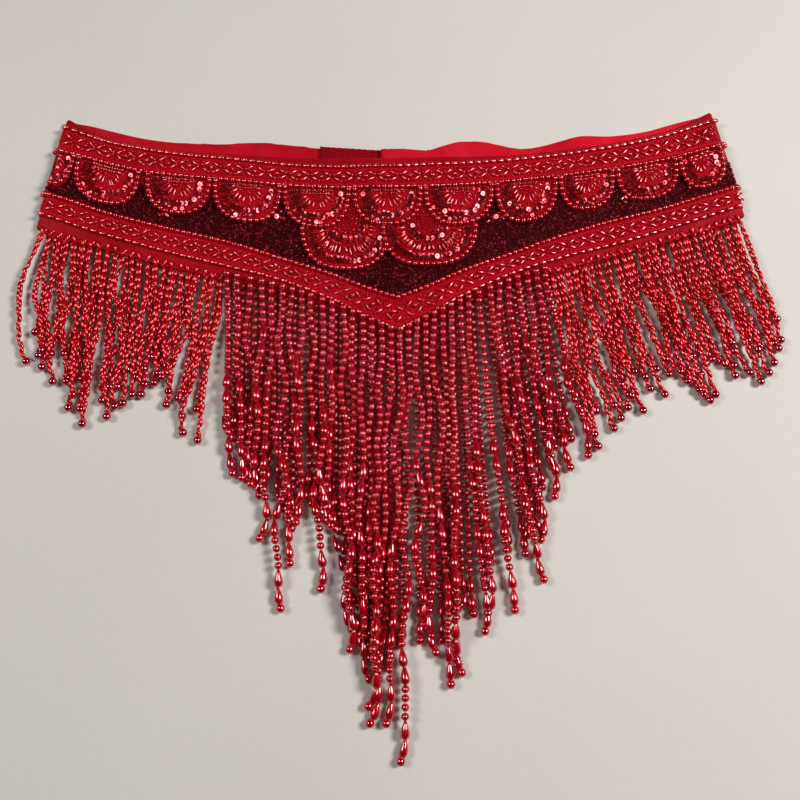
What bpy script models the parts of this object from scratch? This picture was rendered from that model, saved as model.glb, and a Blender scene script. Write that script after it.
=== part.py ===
"""A beaded hip belt for belly dance, fastened at its back and laid flat with its front on top.

Sizes in the tables are millimetres. X runs along the belt, Y points from the fringe to the top edge,
Z is up, and the origin is the middle of the belt's outline on the surface that it lies on.

The front is drawn in pattern coordinates: s runs along the belt (it equals X in the middle of each
section) and t is the distance down from the top edge. Whatever is sewn on the front is worked out
from those coordinates and moved out from the cloth.
"""

import math
from collections import namedtuple

import bmesh
import bpy
from mathutils import Vector

MM = 0.001
UP = Vector((0.0, 0.0, 1.0))

# ---------------------------------------------------------------- driving sizes
ORIGIN_X = 1.3  # middle of the outline, in the tables' own X and Y
ORIGIN_Y = 3.6
CLOTH = 1.5  # satin, stiffening and lining together
SEAM = 0.3  # clear space between two pieces
LAY = 0.4  # clear space under a piece that lies on a curved one
FOLD_RADIUS = 2.25  # middle of the cloth where the belt turns round at each side
FOLD_STEPS = 6
TRIM_TURN = math.radians(80)  # how far beadwork follows the cloth round a side fold
GROUND_THICK = 1.0  # closely sewn seed beads on their net
PEARL = 4.0  # pearls of the rows and of the fans' outlines
OVAL = 3.2  # width of the oval beads along the braids' outer edges
PATCH_THICK = 1.0
PATCH_DEPTH = 25.0
PATCH_PROUD = 1.2  # how far the fuzzy tape stands above the cloth's top edge
STRIP_WIDTH = 2.6  # tape that holds the fringe's roots
STRIP_GAP = 0.4
TAPE_LEVEL = 3.3  # the tape turns the point of the V with a level stretch this far to each side
DEPTHS = (0.0, 0.25, 0.5, 0.75, 1.0)  # shares of a section's depth where the cloth has points

# The front's pattern, one row for each section: where its top and its lower end lie, how far down
# from the top edge the four bead rows are sewn, and how high the cloth lies at its top, middle and
# low end.
Front = namedtuple("Front", "s x_top y_top x_low y_low row_a row_b row_c row_d z_top z_mid z_low")
FRONT = [
    Front(-240, -234.5, 215.0, -249.0, 132.0, 7.0, 25.5, 59.0, 74.0, 4.5, 4.5, 4.5),
    Front(-228, -222.0, 208.0, -235.0, 127.5, 4.8, 21.5, 56.0, 71.5, 3.9, 4.0, 4.4),
    Front(-208, -205.0, 201.0, -212.0, 121.5, 3.3, 19.5, 56.0, 71.5, 2.7, 3.1, 4.0),
    Front(-181, -180.0, 195.5, -182.0, 113.0, 2.9, 20.0, 58.5, 74.5, 2.0, 2.7, 3.9),
    Front(-150, -150.0, 191.5, -150.0, 104.0, 3.5, 20.0, 62.5, 79.5, 1.9, 3.1, 4.2),
    Front(-115, -115.0, 189.5, -115.0, 96.0, 5.0, 21.5, 69.5, 86.5, 2.0, 4.1, 5.0),
    Front(-80, -80.0, 186.5, -80.0, 87.5, 6.5, 22.5, 78.0, 93.0, 2.8, 4.7, 5.0),
    Front(-45, -45.0, 185.0, -45.0, 75.5, 7.5, 23.5, 88.0, 105.0, 4.4, 5.4, 5.0),
    Front(-20, -20.0, 184.5, -20.0, 64.5, 7.0, 22.8, 97.5, 117.0, 6.0, 6.1, 5.0),
    Front(0, 0.0, 184.5, 0.0, 56.0, 7.0, 23.0, 104.0, 126.0, 6.3, 6.4, 5.0),
    Front(20, 20.0, 185.0, 20.0, 66.0, 6.5, 23.0, 96.5, 116.0, 6.3, 6.4, 5.0),
    Front(45, 45.0, 186.0, 45.0, 78.0, 6.0, 22.5, 86.0, 103.0, 5.2, 5.7, 5.0),
    Front(80, 80.0, 188.5, 80.0, 93.0, 5.0, 21.5, 75.5, 89.5, 3.0, 4.8, 5.0),
    Front(115, 115.0, 192.5, 115.0, 104.5, 4.5, 21.0, 66.5, 82.0, 2.0, 4.1, 5.0),
    Front(150, 150.0, 198.0, 150.0, 114.0, 4.0, 21.0, 61.0, 78.0, 1.9, 3.1, 4.2),
    Front(181, 180.0, 204.5, 183.0, 123.5, 4.2, 22.0, 59.0, 74.5, 2.0, 2.7, 3.9),
    Front(207, 203.0, 211.5, 211.0, 132.0, 4.6, 23.3, 57.8, 72.8, 2.8, 3.1, 4.0),
    Front(231, 222.3, 220.5, 239.5, 141.0, 7.5, 26.5, 60.0, 74.0, 4.5, 4.5, 4.5),
]
FRONT_SPACING = 14.0  # between the front's sections
S_LEFT, S_RIGHT = FRONT[0].s, FRONT[-1].s

# The back, from each side fold to the centre, where the right end lies over the left one.
Back = namedtuple("Back", "x_top y_top x_low y_low lift")
BACK_LEFT = [
    Back(-222, 213.0, -236, 131.0, 0.0),
    Back(-205, 208.5, -213, 130.0, 0.0),
    Back(-180, 202.5, -182, 129.0, 0.0),
    Back(-150, 199.0, -150, 126.5, 0.0),
    Back(-120, 198.5, -120, 124.0, 0.0),
    Back(-100, 199.5, -100, 122.0, 0.0),
    Back(-78, 197.5, -78, 120.0, 0.0),
    Back(-50, 194.5, -50, 118.5, 0.0),
    Back(-20, 192.0, -20, 117.0, 0.0),
    Back(25, 190.0, 25, 117.0, 0.0),
]
BACK_RIGHT = [
    Back(211, 218.0, 226, 138.5, 0.0),
    Back(195, 213.5, 203, 135.0, 0.0),
    Back(178, 208.5, 181, 131.5, 0.0),
    Back(152, 204.8, 152, 128.0, 0.0),
    Back(130, 204.8, 130, 126.0, 0.0),
    Back(115, 200.5, 115, 124.5, 0.0),
    Back(98, 195.8, 98, 122.5, 0.0),
    Back(85, 194.8, 85, 121.0, 0.0),
    Back(73, 197.7, 73, 120.0, 0.0),
    Back(60, 200.0, 60, 119.0, 0.2),
    Back(44, 198.9, 44, 118.0, 2.4),
    Back(30, 194.2, 30, 117.3, 4.2),
    Back(20, 191.2, 20, 117.0, 4.4),
    Back(4, 192.6, 4, 117.0, 4.4),
    Back(-12, 192.3, -12, 117.0, 4.4),
]
LOOP_SPAN = (-55.5, 22.0)  # tape on the left end's inside
HOOK_SPAN = (-11.0, 22.0)  # tape under the right end

# Fan appliques: the middle, half the width and the depth of each, over its rim of pearls. It hangs
# from the upper braid, or from t_top where that is set, and turns from the first angle to the second.
Fan = namedtuple("Fan", "name s half depth turn_from turn_to t_top")
FANS = [
    Fan("fan_01", -240.0, 11.0, 26.0, 90, 0, None),
    Fan("fan_02", -204.7, 23.2, 28.9, 180, 0, None),
    Fan("fan_03", -153.9, 23.2, 28.1, 180, 0, None),
    Fan("fan_04", -105.0, 23.9, 29.4, 180, 0, None),
    Fan("fan_05", -56.3, 23.5, 29.4, 180, 0, None),
    Fan("fan_06", -7.0, 24.0, 27.2, 180, 0, None),
    Fan("fan_07", 42.4, 24.0, 28.4, 180, 0, None),
    Fan("fan_08", 89.6, 21.8, 31.1, 180, 0, None),
    Fan("fan_09", 132.3, 19.6, 27.6, 180, 0, None),
    Fan("fan_10", 175.5, 22.2, 26.4, 180, 0, None),
    Fan("fan_11", 214.8, 16.0, 27.4, 180, 0, None),
    Fan("fan_low_left", -37.4, 30.0, 28.5, 180, 0, 56.8),
    Fan("fan_low_right", 26.4, 28.5, 27.5, 180, 0, 55.0),
]
FAN_FULLNESS = 0.75  # below 1 the outline is fuller than an ellipse
FAN_SECTORS = 12
# Across a fan from its middle to its rim: share of the radius, height on a rib, height between two ribs.
FanRing = namedtuple("FanRing", "share rib hollow")
FAN_RINGS = [
    FanRing(0.30, 2.4, 2.0),
    FanRing(0.62, 2.2, 1.3),
    FanRing(0.80, 1.4, 1.1),
    FanRing(0.88, 3.2, 3.2),
    FanRing(1.00, 2.6, 2.6),
]
FAN_MIDDLE = 2.6

# Across a braid: share of the way between its two bead rows, offset in mm, height on even and on
# odd stations.
BraidPoint = namedtuple("BraidPoint", "share offset even odd")
BRAID = [
    BraidPoint(0.0, -OVAL / 2, 0.9, 0.9),
    BraidPoint(0.0, -OVAL / 4, 2.4, 2.4),
    BraidPoint(0.0, OVAL / 4, 2.4, 2.4),
    BraidPoint(0.0, OVAL / 2, 1.1, 1.1),
    BraidPoint(0.28, 0.0, 1.1, 2.0),
    BraidPoint(0.50, 0.0, 2.2, 1.1),
    BraidPoint(0.72, 0.0, 1.1, 2.0),
    BraidPoint(1.0, -PEARL / 2, 1.1, 1.1),
    BraidPoint(1.0, -PEARL / 4, 3.2, 3.2),
    BraidPoint(1.0, PEARL / 4, 3.2, 3.2),
    BraidPoint(1.0, PEARL / 2, 0.9, 0.9),
]

# The fringe's outline: where a front strand that starts at x_root ends. It is longest at the point
# of the V.
Tip = namedtuple("Tip", "x_root x_tip y_tip")
TIPS = [
    Tip(-247, -250, 37),
    Tip(-231, -231, 23),
    Tip(-219, -219, 5),
    Tip(-208, -208, -6),
    Tip(-190, -193, -1),
    Tip(-174, -177, 14),
    Tip(-163, -168, 21),
    Tip(-150, -154, 7),
    Tip(-137, -142, -12),
    Tip(-125, -131, -17),
    Tip(-119, -109, -39),
    Tip(-106, -96, -46),
    Tip(-98, -89, -80),
    Tip(-82, -74, -125),
    Tip(-72, -66, -71),
    Tip(-55, -50, -112),
    Tip(-33, -30, -150),
    Tip(-19, -18, -183),
    Tip(-8, -7, -194),
    Tip(1, 2, -216),
    Tip(8, 10, -150),
    Tip(14, 17, -135),
    Tip(24, 26, -155),
    Tip(31, 34, -170),
    Tip(48, 55, -139),
    Tip(63, 74, -126),
    Tip(78, 93, -107),
    Tip(84, 99, -67),
    Tip(94, 111, -50),
    Tip(101, 121, -33),
    Tip(107, 131, -21),
    Tip(120, 143, -9),
    Tip(143, 163, 3),
    Tip(160, 178, 14),
    Tip(183, 201, 17),
    Tip(190, 208, 10),
    Tip(207, 226, 27),
    Tip(223, 243, 23),
    Tip(232, 253, 36),
    Tip(238, 260, 52),
]
BULGE_REACH = 14.0  # strands this near a side fold swing outward
BULGE_LEFT = 11.0
BULGE_RIGHT = 5.0

STRAND_PEARL = 3.8  # side of a square strand that fills what a string of round pearls fills
STRAND_TWIST = 2.8
FLOOR_GAP = 0.3
LAST_DROP = 8.0  # in strand widths: how long a front strand takes to come down to the surface
DROP_LENGTH = 12.0  # long drop bead above the end pearl
DROP_WIDEST = 3.0  # the drop is widest this far above the end pearl
END_PEARL = 6.0
NECK = 1.2  # half the width between two end beads
BODY_RINGS = 3
UNDER_RINGS = 3


def slope_between(first, second, key, value):
    rise = getattr(second, value) - getattr(first, value)
    return rise / (getattr(second, key) - getattr(first, key))


def slope_at(rows, key, value, j):
    """Slope at a row: the mean of the slopes on its two sides, or the only one at an end."""
    near = rows[max(j - 1, 0) : j + 2]
    slopes = [slope_between(first, second, key, value) for first, second in zip(near, near[1:])]
    return sum(slopes) / len(slopes)


def hermite(rows, key, value, x):
    """Smooth value at x through the rows, which are sorted by key."""
    last = len(rows) - 2
    i = min(max(sum(1 for row in rows if getattr(row, key) <= x) - 1, 0), last)
    x0, x1 = getattr(rows[i], key), getattr(rows[i + 1], key)
    y0, y1 = getattr(rows[i], value), getattr(rows[i + 1], value)
    u = (x - x0) / (x1 - x0)
    m0 = slope_at(rows, key, value, i) * (x1 - x0)
    m1 = slope_at(rows, key, value, i + 1) * (x1 - x0)
    start = (2 * u**3 - 3 * u**2 + 1) * y0 + (u**3 - 2 * u**2 + u) * m0
    return start + (3 * u**2 - 2 * u**3) * y1 + (u**3 - u**2) * m1


FRONT_TIP = next(i for i, row in enumerate(FRONT) if row.s == 0)


def front_value(value, s):
    """A column of the front's table at s. The two halves meet in a corner at the point of the V."""
    half = FRONT[: FRONT_TIP + 1] if s < 0 else FRONT[FRONT_TIP:]
    return hermite(half, "s", value, s)


def even_steps(first, last, spacing):
    count = max(1, round(abs(last - first) / spacing))
    return [first + (last - first) * i / count for i in range(count + 1)]


STATIONS = even_steps(S_LEFT, 0.0, FRONT_SPACING) + even_steps(0.0, S_RIGHT, FRONT_SPACING)[1:]


def front_section(s):
    """Points of the cloth's middle layer along one section, from the top edge down."""
    top = Vector((front_value("x_top", s), front_value("y_top", s), 0.0))
    low = Vector((front_value("x_low", s), front_value("y_low", s), 0.0))
    heights = [front_value(name, s) for name in ("z_top", "z_mid", "z_low")]
    points = []
    for share in DEPTHS:
        part = min(int(share * 2), 1)
        height = heights[part] + (heights[part + 1] - heights[part]) * (share * 2 - part)
        points.append(top.lerp(low, share) + UP * (height + CLOTH / 2))
    return points


def grid_normals(grid):
    """Upward normal at each point of a grid."""
    rows, columns = len(grid), len(grid[0])
    normals = []
    for i in range(rows):
        line = []
        for j in range(columns):
            along = grid[min(i + 1, rows - 1)][j] - grid[max(i - 1, 0)][j]
            down = grid[i][min(j + 1, columns - 1)] - grid[i][max(j - 1, 0)]
            normal = down.cross(along).normalized()
            line.append(normal if normal.z > 0 else -normal)
        normals.append(line)
    return normals


FRONT_GRID = [front_section(s) for s in STATIONS]
FRONT_NORMALS = grid_normals(FRONT_GRID)


def fold_frame(side):
    """The front's end section and the direction that points out of the belt there. side is -1 or 1."""
    section = FRONT_GRID[0] if side < 0 else FRONT_GRID[-1]
    line = section[-1] - section[0]
    out = Vector((line.y, -line.x, 0.0)).normalized()
    return section, out if out.x * side > 0 else -out


def fold_section(side, angle):
    """Points of the cloth's middle layer at an angle round a side fold, from 0 at the front to pi."""
    section, out = fold_frame(side)
    turn = out * math.sin(angle) + UP * math.cos(angle)
    return [point + (turn - UP) * FOLD_RADIUS for point in section], turn


def between(a, b, share):
    return a + (b - a) * share


def on_grid_line(line, share):
    """The point at this share of the depth on one section's points."""
    place = min(max(share, 0.0), 1.0) * (len(DEPTHS) - 1)
    j = min(int(place), len(DEPTHS) - 2)
    return between(line[j], line[j + 1], place - j)


def front_length(s):
    """Depth of the front from its top edge to its lower edge."""
    inside = min(max(s, S_LEFT), S_RIGHT)
    top = Vector((front_value("x_top", inside), front_value("y_top", inside)))
    low = Vector((front_value("x_low", inside), front_value("y_low", inside)))
    return (low - top).length


def front_point(s, t, out):
    """Place at s along the belt and t down from the top edge, moved out from the cloth's outer face."""
    share = t / front_length(s)
    raised = CLOTH / 2 + out
    if s < S_LEFT or s > S_RIGHT:
        side = -1 if s < S_LEFT else 1
        past = S_LEFT - s if side < 0 else s - S_RIGHT
        line, turn = fold_section(side, past / FOLD_RADIUS)
        return on_grid_line(line, share) + turn * raised
    i = min(max(sum(1 for station in STATIONS if station <= s) - 1, 0), len(STATIONS) - 2)
    part = (s - STATIONS[i]) / (STATIONS[i + 1] - STATIONS[i])
    point, normal = [
        between(on_grid_line(lines[i], share), on_grid_line(lines[i + 1], share), part)
        for lines in (FRONT_GRID, FRONT_NORMALS)
    ]
    return point + normal.normalized() * raised


# ---------------------------------------------------------------- meshes
def material(name, colour, roughness, metallic):
    made = bpy.data.materials.new(name)
    made.use_nodes = True
    shader = made.node_tree.nodes["Principled BSDF"]
    shader.inputs["Base Color"].default_value = (*colour, 1.0)
    shader.inputs["Roughness"].default_value = roughness
    shader.inputs["Metallic"].default_value = metallic
    return made


def finish_object(name, mesh, finish):
    """Sets a mesh that is in the tables' millimetres into the scene, in metres and round the origin."""
    bmesh.ops.recalc_face_normals(mesh, faces=mesh.faces)
    bmesh.ops.translate(mesh, verts=mesh.verts, vec=(-ORIGIN_X, -ORIGIN_Y, 0.0))
    bmesh.ops.scale(mesh, verts=mesh.verts, vec=(MM, MM, MM))
    data = bpy.data.meshes.new(name)
    mesh.to_mesh(data)
    mesh.free()
    data.materials.append(finish)
    made = bpy.data.objects.new(name, data)
    bpy.context.scene.collection.objects.link(made)
    return made


def slab(name, outer, inner, finish):
    """A closed sheet between two grids of points that match, such as the two faces of a cloth."""
    mesh = bmesh.new()
    upper = [[mesh.verts.new(point) for point in line] for line in outer]
    lower = [[mesh.verts.new(point) for point in line] for line in inner]
    rows, columns = len(upper), len(upper[0])
    for i in range(rows - 1):
        for j in range(columns - 1):
            mesh.faces.new((upper[i][j], upper[i + 1][j], upper[i + 1][j + 1], upper[i][j + 1]))
            mesh.faces.new((lower[i][j], lower[i][j + 1], lower[i + 1][j + 1], lower[i + 1][j]))
        for j in (0, columns - 1):
            mesh.faces.new((upper[i][j], upper[i + 1][j], lower[i + 1][j], lower[i][j]))
    for i in (0, rows - 1):
        for j in range(columns - 1):
            mesh.faces.new((upper[i][j], upper[i][j + 1], lower[i][j + 1], lower[i][j]))
    return finish_object(name, mesh, finish)


# ---------------------------------------------------------------- the band
def back_section(row):
    top = Vector((row.x_top, row.y_top, row.lift + CLOTH / 2))
    low = Vector((row.x_low, row.y_low, row.lift + CLOTH / 2))
    return [top.lerp(low, share) for share in DEPTHS]


def back_normals(grid):
    """Normals of a back's outer face, which looks down."""
    return [[-normal for normal in line] for line in grid_normals(grid)]


def make_band(finish):
    """One strip: left end, left fold, front, right fold, right end."""
    left = [back_section(row) for row in reversed(BACK_LEFT)]
    right = [back_section(row) for row in BACK_RIGHT]
    middle = []
    turns = []
    for step in range(FOLD_STEPS, 0, -1):
        line, turn = fold_section(-1, math.pi * step / FOLD_STEPS)
        middle.append(line)
        turns.append([turn] * len(DEPTHS))
    middle += FRONT_GRID
    turns += FRONT_NORMALS
    for step in range(1, FOLD_STEPS + 1):
        line, turn = fold_section(1, math.pi * step / FOLD_STEPS)
        middle.append(line)
        turns.append([turn] * len(DEPTHS))
    grid = left + middle + right
    normals = back_normals(left) + turns + back_normals(right)
    half = CLOTH / 2
    outer = [[p + n * half for p, n in zip(line, ns)] for line, ns in zip(grid, normals)]
    inner = [[p - n * half for p, n in zip(line, ns)] for line, ns in zip(grid, normals)]
    return slab("band", outer, inner, finish)


def back_at(rows, x, column):
    ordered = sorted(rows, key=lambda row: row.x_top)
    for first, second in zip(ordered, ordered[1:]):
        if first.x_top <= x <= second.x_top:
            share = (x - first.x_top) / (second.x_top - first.x_top)
            return between(getattr(first, column), getattr(second, column), share)
    raise ValueError("no back section at this place")


def make_tape(name, rows, span, low, finish):
    """A fuzzy tape at a back's top edge, from height low upwards."""
    inside = [row.x_top for row in rows if span[0] < row.x_top < span[1]]
    places = sorted([*span, *inside])
    outer, inner = [], []
    for x in places:
        top = back_at(rows, x, "y_top") + PATCH_PROUD
        ends = (top, top - PATCH_DEPTH)
        outer.append([Vector((x, y, low + PATCH_THICK)) for y in ends])
        inner.append([Vector((x, y, low)) for y in ends])
    return slab(name, outer, inner, finish)


# ---------------------------------------------------------------- beadwork on the front
def beadwork_stations(parts):
    """Stations for what is sewn along the belt: parts of the way between sections, and round the folds."""
    places = []
    for first, second in zip(STATIONS, STATIONS[1:]):
        places += [between(first, second, part / parts) for part in range(parts)]
    places.append(STATIONS[-1])
    reach = FOLD_RADIUS * TRIM_TURN
    turns = [reach * step / 3 for step in (1, 2, 3)]
    return [S_LEFT - turn for turn in reversed(turns)] + places + [S_RIGHT + turn for turn in turns]


def row_value(name, s):
    return front_value(name, min(max(s, S_LEFT), S_RIGHT))


def make_braid(name, oval_row, pearl_row, finish):
    """A flat braid of beads: a ridge of oval beads, a lattice and a ridge of pearls over a flat base."""
    mesh = bmesh.new()
    rings = []
    for count, s in enumerate(beadwork_stations(2)):
        from_t, to_t = row_value(oval_row, s), row_value(pearl_row, s)
        way = 1 if to_t > from_t else -1
        marks = [between(from_t, to_t, point.share) + point.offset * way for point in BRAID]
        heights = [point.odd if count % 2 else point.even for point in BRAID]
        ring = [front_point(s, t, LAY + height) for t, height in zip(marks, heights)]
        ring += [front_point(s, marks[-1], LAY), front_point(s, marks[0], LAY)]
        rings.append([mesh.verts.new(point) for point in ring])
    for near, far in zip(rings, rings[1:]):
        for i in range(len(near)):
            following = (i + 1) % len(near)
            mesh.faces.new((near[i], near[following], far[following], far[i]))
    mesh.faces.new(rings[0])
    mesh.faces.new(rings[-1])
    return finish_object(name, mesh, finish)


def make_ground(finish):
    """The dark ground of seed beads between the two braids."""
    outer, inner = [], []
    for s in beadwork_stations(1):
        top_t = row_value("row_b", s) + PEARL / 2 + SEAM
        low_t = row_value("row_c", s) - PEARL / 2 - SEAM
        marks = [between(top_t, low_t, share / 3) for share in range(4)]
        outer.append([front_point(s, t, LAY + GROUND_THICK) for t in marks])
        inner.append([front_point(s, t, LAY) for t in marks])
    return slab("beaded_ground", outer, inner, finish)


def fan_place(fan, angle, share):
    """Pattern coordinates at an angle and a share of a fan's radius."""
    cos, sin = math.cos(angle), math.sin(angle)
    s = fan.s + math.copysign(abs(cos) ** FAN_FULLNESS, cos) * fan.half * share
    top = fan.t_top if fan.t_top is not None else row_value("row_b", s) + PEARL / 2 + 2 * SEAM
    return s, top + max(sin, 0.0) ** FAN_FULLNESS * fan.depth * share


def make_fan(fan, finish):
    """A half-round applique: a hub of short rows, radial ribs, a hollow ring and a rim of pearls."""
    base = 2 * LAY + GROUND_THICK
    sectors = FAN_SECTORS if fan.turn_from == 180 else FAN_SECTORS // 2
    start, end = math.radians(fan.turn_from), math.radians(fan.turn_to)
    angles = [between(start, end, i / sectors) for i in range(sectors + 1)]
    mesh = bmesh.new()

    def vertex(angle, share, height):
        return mesh.verts.new(front_point(*fan_place(fan, angle, share), base + height))

    middle = vertex(angles[0], 0.0, FAN_MIDDLE)
    under_middle = vertex(angles[0], 0.0, 0.0)
    rings = []
    for ring in FAN_RINGS:
        heights = [ring.hollow if i % 2 else ring.rib for i in range(len(angles))]
        rings.append([vertex(angle, ring.share, height) for angle, height in zip(angles, heights)])
    below = [[vertex(a, ring.share, 0.0) for a in angles] for ring in (FAN_RINGS[1], FAN_RINGS[-1])]
    for i in range(sectors):
        mesh.faces.new((middle, rings[0][i], rings[0][i + 1]))
        mesh.faces.new((under_middle, below[0][i + 1], below[0][i]))
        for near, far in zip(rings, rings[1:]):
            mesh.faces.new((near[i], far[i], far[i + 1], near[i + 1]))
        mesh.faces.new((below[0][i], below[0][i + 1], below[1][i + 1], below[1][i]))
        mesh.faces.new((rings[-1][i], below[1][i], below[1][i + 1], rings[-1][i + 1]))
    for i in (0, sectors):
        over = [middle] + [ring[i] for ring in rings]
        mesh.faces.new(over + [below[1][i], below[0][i], under_middle])
    return finish_object(fan.name, mesh, finish)


# ---------------------------------------------------------------- fringe
Fringe = namedtuple("Fringe", "name x_first x_last pitch side low kind shorter")


def tip_at(x):
    """(x, y) of the tip of a front strand that starts at x."""
    i = min(max(sum(1 for row in TIPS if row.x_root <= x) - 1, 0), len(TIPS) - 2)
    first, second = TIPS[i], TIPS[i + 1]
    share = (x - first.x_root) / (second.x_root - first.x_root)
    return between(first.x_tip, second.x_tip, share), between(first.y_tip, second.y_tip, share)


def front_edge(x):
    """Y of the front's lower edge. The tape runs level past the point of the V."""
    line = [section[-1] for section in FRONT_GRID]
    if abs(x) < TAPE_LEVEL:
        x = 0.0
    for a, b in zip(line, line[1:]):
        if a.x <= x <= b.x:
            return between(a.y, b.y, (x - a.x) / (b.x - a.x))
    nearest = line[0] if x < line[0].x else line[-1]
    return nearest.y


def back_edge(x):
    """Y of the back's lower edge, the lower of the two ends where they lie over each other."""
    found = []
    for side, rows in ((-1, BACK_LEFT), (1, BACK_RIGHT)):
        low = fold_frame(side)[0][-1]
        line = sorted([(low.x, low.y)] + [(row.x_low, row.y_low) for row in rows])
        for (ax, ay), (bx, by) in zip(line, line[1:]):
            if ax <= x <= bx:
                found.append(between(ay, by, (x - ax) / (bx - ax)))
    return min(found)


def bulge_at(x):
    """How far a strand near a side fold swings outward on its way down."""
    left = max(0.0, 1 - (x - TIPS[0].x_root) / BULGE_REACH)
    right = max(0.0, 1 - (TIPS[-1].x_root - x) / BULGE_REACH)
    return BULGE_RIGHT * right - BULGE_LEFT * left


def strand_x(x, y):
    """X at height y of a strand that starts at x: all lean alike, so that neighbours stay apart."""
    x_tip, y_tip = tip_at(x)
    start = front_edge(x)
    share = min(max((start - y) / (start - y_tip), 0.0), 1.0)
    return between(x, x_tip, share) + bulge_at(x) * math.sin(math.pi * share)


def strand_marks(fringe, length):
    """(distance down, half the width) of a strand's rings: evenly along it, then its end beads."""
    half = fringe.side / 2
    if fringe.kind.startswith("under"):
        return [(length * (i + 1) / UNDER_RINGS, half) for i in range(UNDER_RINGS)]
    ends = [(END_PEARL, NECK), (END_PEARL / 2, END_PEARL / 2), (0.0, NECK)]
    if fringe.kind == "pearl":
        ends = [(END_PEARL + DROP_LENGTH, NECK), (END_PEARL + DROP_WIDEST, END_PEARL / 2)] + ends
    ends.insert(0, (ends[0][0] + half, half))
    level = length - LAST_DROP * fringe.side
    marks = [(STRIP_WIDTH, half)] + [(level * (i + 1) / BODY_RINGS, half) for i in range(BODY_RINGS)]
    return marks + [(length - before, wide) for before, wide in ends]


def strand_low(fringe, left):
    """Height of a strand's underside where this length of it is left: level, then down to the surface."""
    share = min(1.0, left / (LAST_DROP * fringe.side))
    return between(FLOOR_GAP, fringe.low, share * share * (3 - 2 * share))


def make_fringe(fringe, finish):
    """A tape along a lower edge and its strands, which are one body with it."""
    edge = front_edge if fringe.kind in ("pearl", "twist") else back_edge
    count = round((fringe.x_last - fringe.x_first) / fringe.pitch)
    roots = [between(fringe.x_first, fringe.x_last, i / count) for i in range(count + 1)]
    half = fringe.side / 2
    mesh = bmesh.new()
    marks = []
    for x in roots:
        marks += [x - half, x + half]
    low, high = fringe.low, fringe.low + fringe.side
    far = [(x, edge(x) - STRIP_GAP - STRIP_WIDTH) for x in marks]
    near = [(x, edge(x) - STRIP_GAP) for x in marks]
    far_low = [mesh.verts.new((x, y, low)) for x, y in far]
    far_high = [mesh.verts.new((x, y, high)) for x, y in far]
    near_low = [mesh.verts.new((x, y, low)) for x, y in near]
    near_high = [mesh.verts.new((x, y, high)) for x, y in near]
    for i in range(len(marks) - 1):
        mesh.faces.new((near_low[i], near_low[i + 1], far_low[i + 1], far_low[i]))
        mesh.faces.new((near_high[i], far_high[i], far_high[i + 1], near_high[i + 1]))
        mesh.faces.new((near_low[i], near_high[i], near_high[i + 1], near_low[i + 1]))
        if i % 2:
            mesh.faces.new((far_low[i], far_low[i + 1], far_high[i + 1], far_high[i]))
    for i in (0, -1):
        mesh.faces.new((near_low[i], far_low[i], far_high[i], near_high[i]))
    for number, x in enumerate(roots):
        y = edge(x) - STRIP_GAP - STRIP_WIDTH
        y_tip = tip_at(x)[1]
        if fringe.shorter:
            near = (x - fringe.pitch, x, x + fringe.pitch)
            y_tip = max(tip_at(place)[1] for place in near) + fringe.shorter
        length = y - y_tip
        i = 2 * number
        ring = [far_low[i], far_low[i + 1], far_high[i + 1], far_high[i]]
        for down, wide in strand_marks(fringe, length):
            across = strand_x(x, y - down)
            middle = max(strand_low(fringe, length - down) + half, FLOOR_GAP + wide)
            corners = ((-wide, -wide), (wide, -wide), (wide, wide), (-wide, wide))
            following = [mesh.verts.new((across + dx, y - down, middle + dz)) for dx, dz in corners]
            for a, b in ((0, 1), (1, 2), (2, 3), (3, 0)):
                mesh.faces.new((ring[a], ring[b], following[b], following[a]))
            ring = following
        mesh.faces.new(ring)
    return finish_object(fringe.name, mesh, finish)


OVER_TWIST = FLOOR_GAP + STRAND_TWIST + SEAM
OVER_PEARL = FLOOR_GAP + STRAND_PEARL + SEAM
FRINGES = [
    Fringe("fringe_back_left", -243, -124, 7.0, STRAND_TWIST, FLOOR_GAP, "under_twist", 26),
    Fringe("fringe_back_centre", -115.2, 97.7, 6.65, STRAND_PEARL, FLOOR_GAP, "under_pearl", 36),
    Fringe("fringe_back_right", 108, 233, 7.0, STRAND_TWIST, FLOOR_GAP, "under_twist", 26),
    Fringe("fringe_front_left", -246, -125, 5.4, STRAND_TWIST, OVER_TWIST, "twist", 0),
    Fringe("fringe_front_centre", -118.5, 101, 6.65, STRAND_PEARL, OVER_PEARL, "pearl", 0),
    Fringe("fringe_front_right", 107, 237, 5.4, STRAND_TWIST, OVER_TWIST, "twist", 0),
]


def main():
    for old in list(bpy.data.objects):
        bpy.data.objects.remove(old)
    satin = material("red_satin", (0.52, 0.004, 0.015), 0.35, 0.0)
    pearl = material("crimson_pearl", (0.30, 0.002, 0.012), 0.22, 0.35)
    garnet = material("garnet_seed", (0.045, 0.001, 0.004), 0.35, 0.2)
    fuzz = material("dark_red_tape", (0.16, 0.003, 0.008), 0.95, 0.0)

    make_band(satin)
    make_tape("closure_loop", BACK_LEFT, LOOP_SPAN, CLOTH + SEAM, fuzz)
    make_tape("closure_hook", BACK_RIGHT, HOOK_SPAN, CLOTH + 2 * SEAM + PATCH_THICK, fuzz)
    make_ground(garnet)
    make_braid("braid_upper", "row_a", "row_b", pearl)
    make_braid("braid_lower", "row_d", "row_c", pearl)
    for fan in FANS:
        make_fan(fan, pearl)
    for fringe in FRINGES:
        make_fringe(fringe, pearl)


main()
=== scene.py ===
# %% [markdown]
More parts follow.
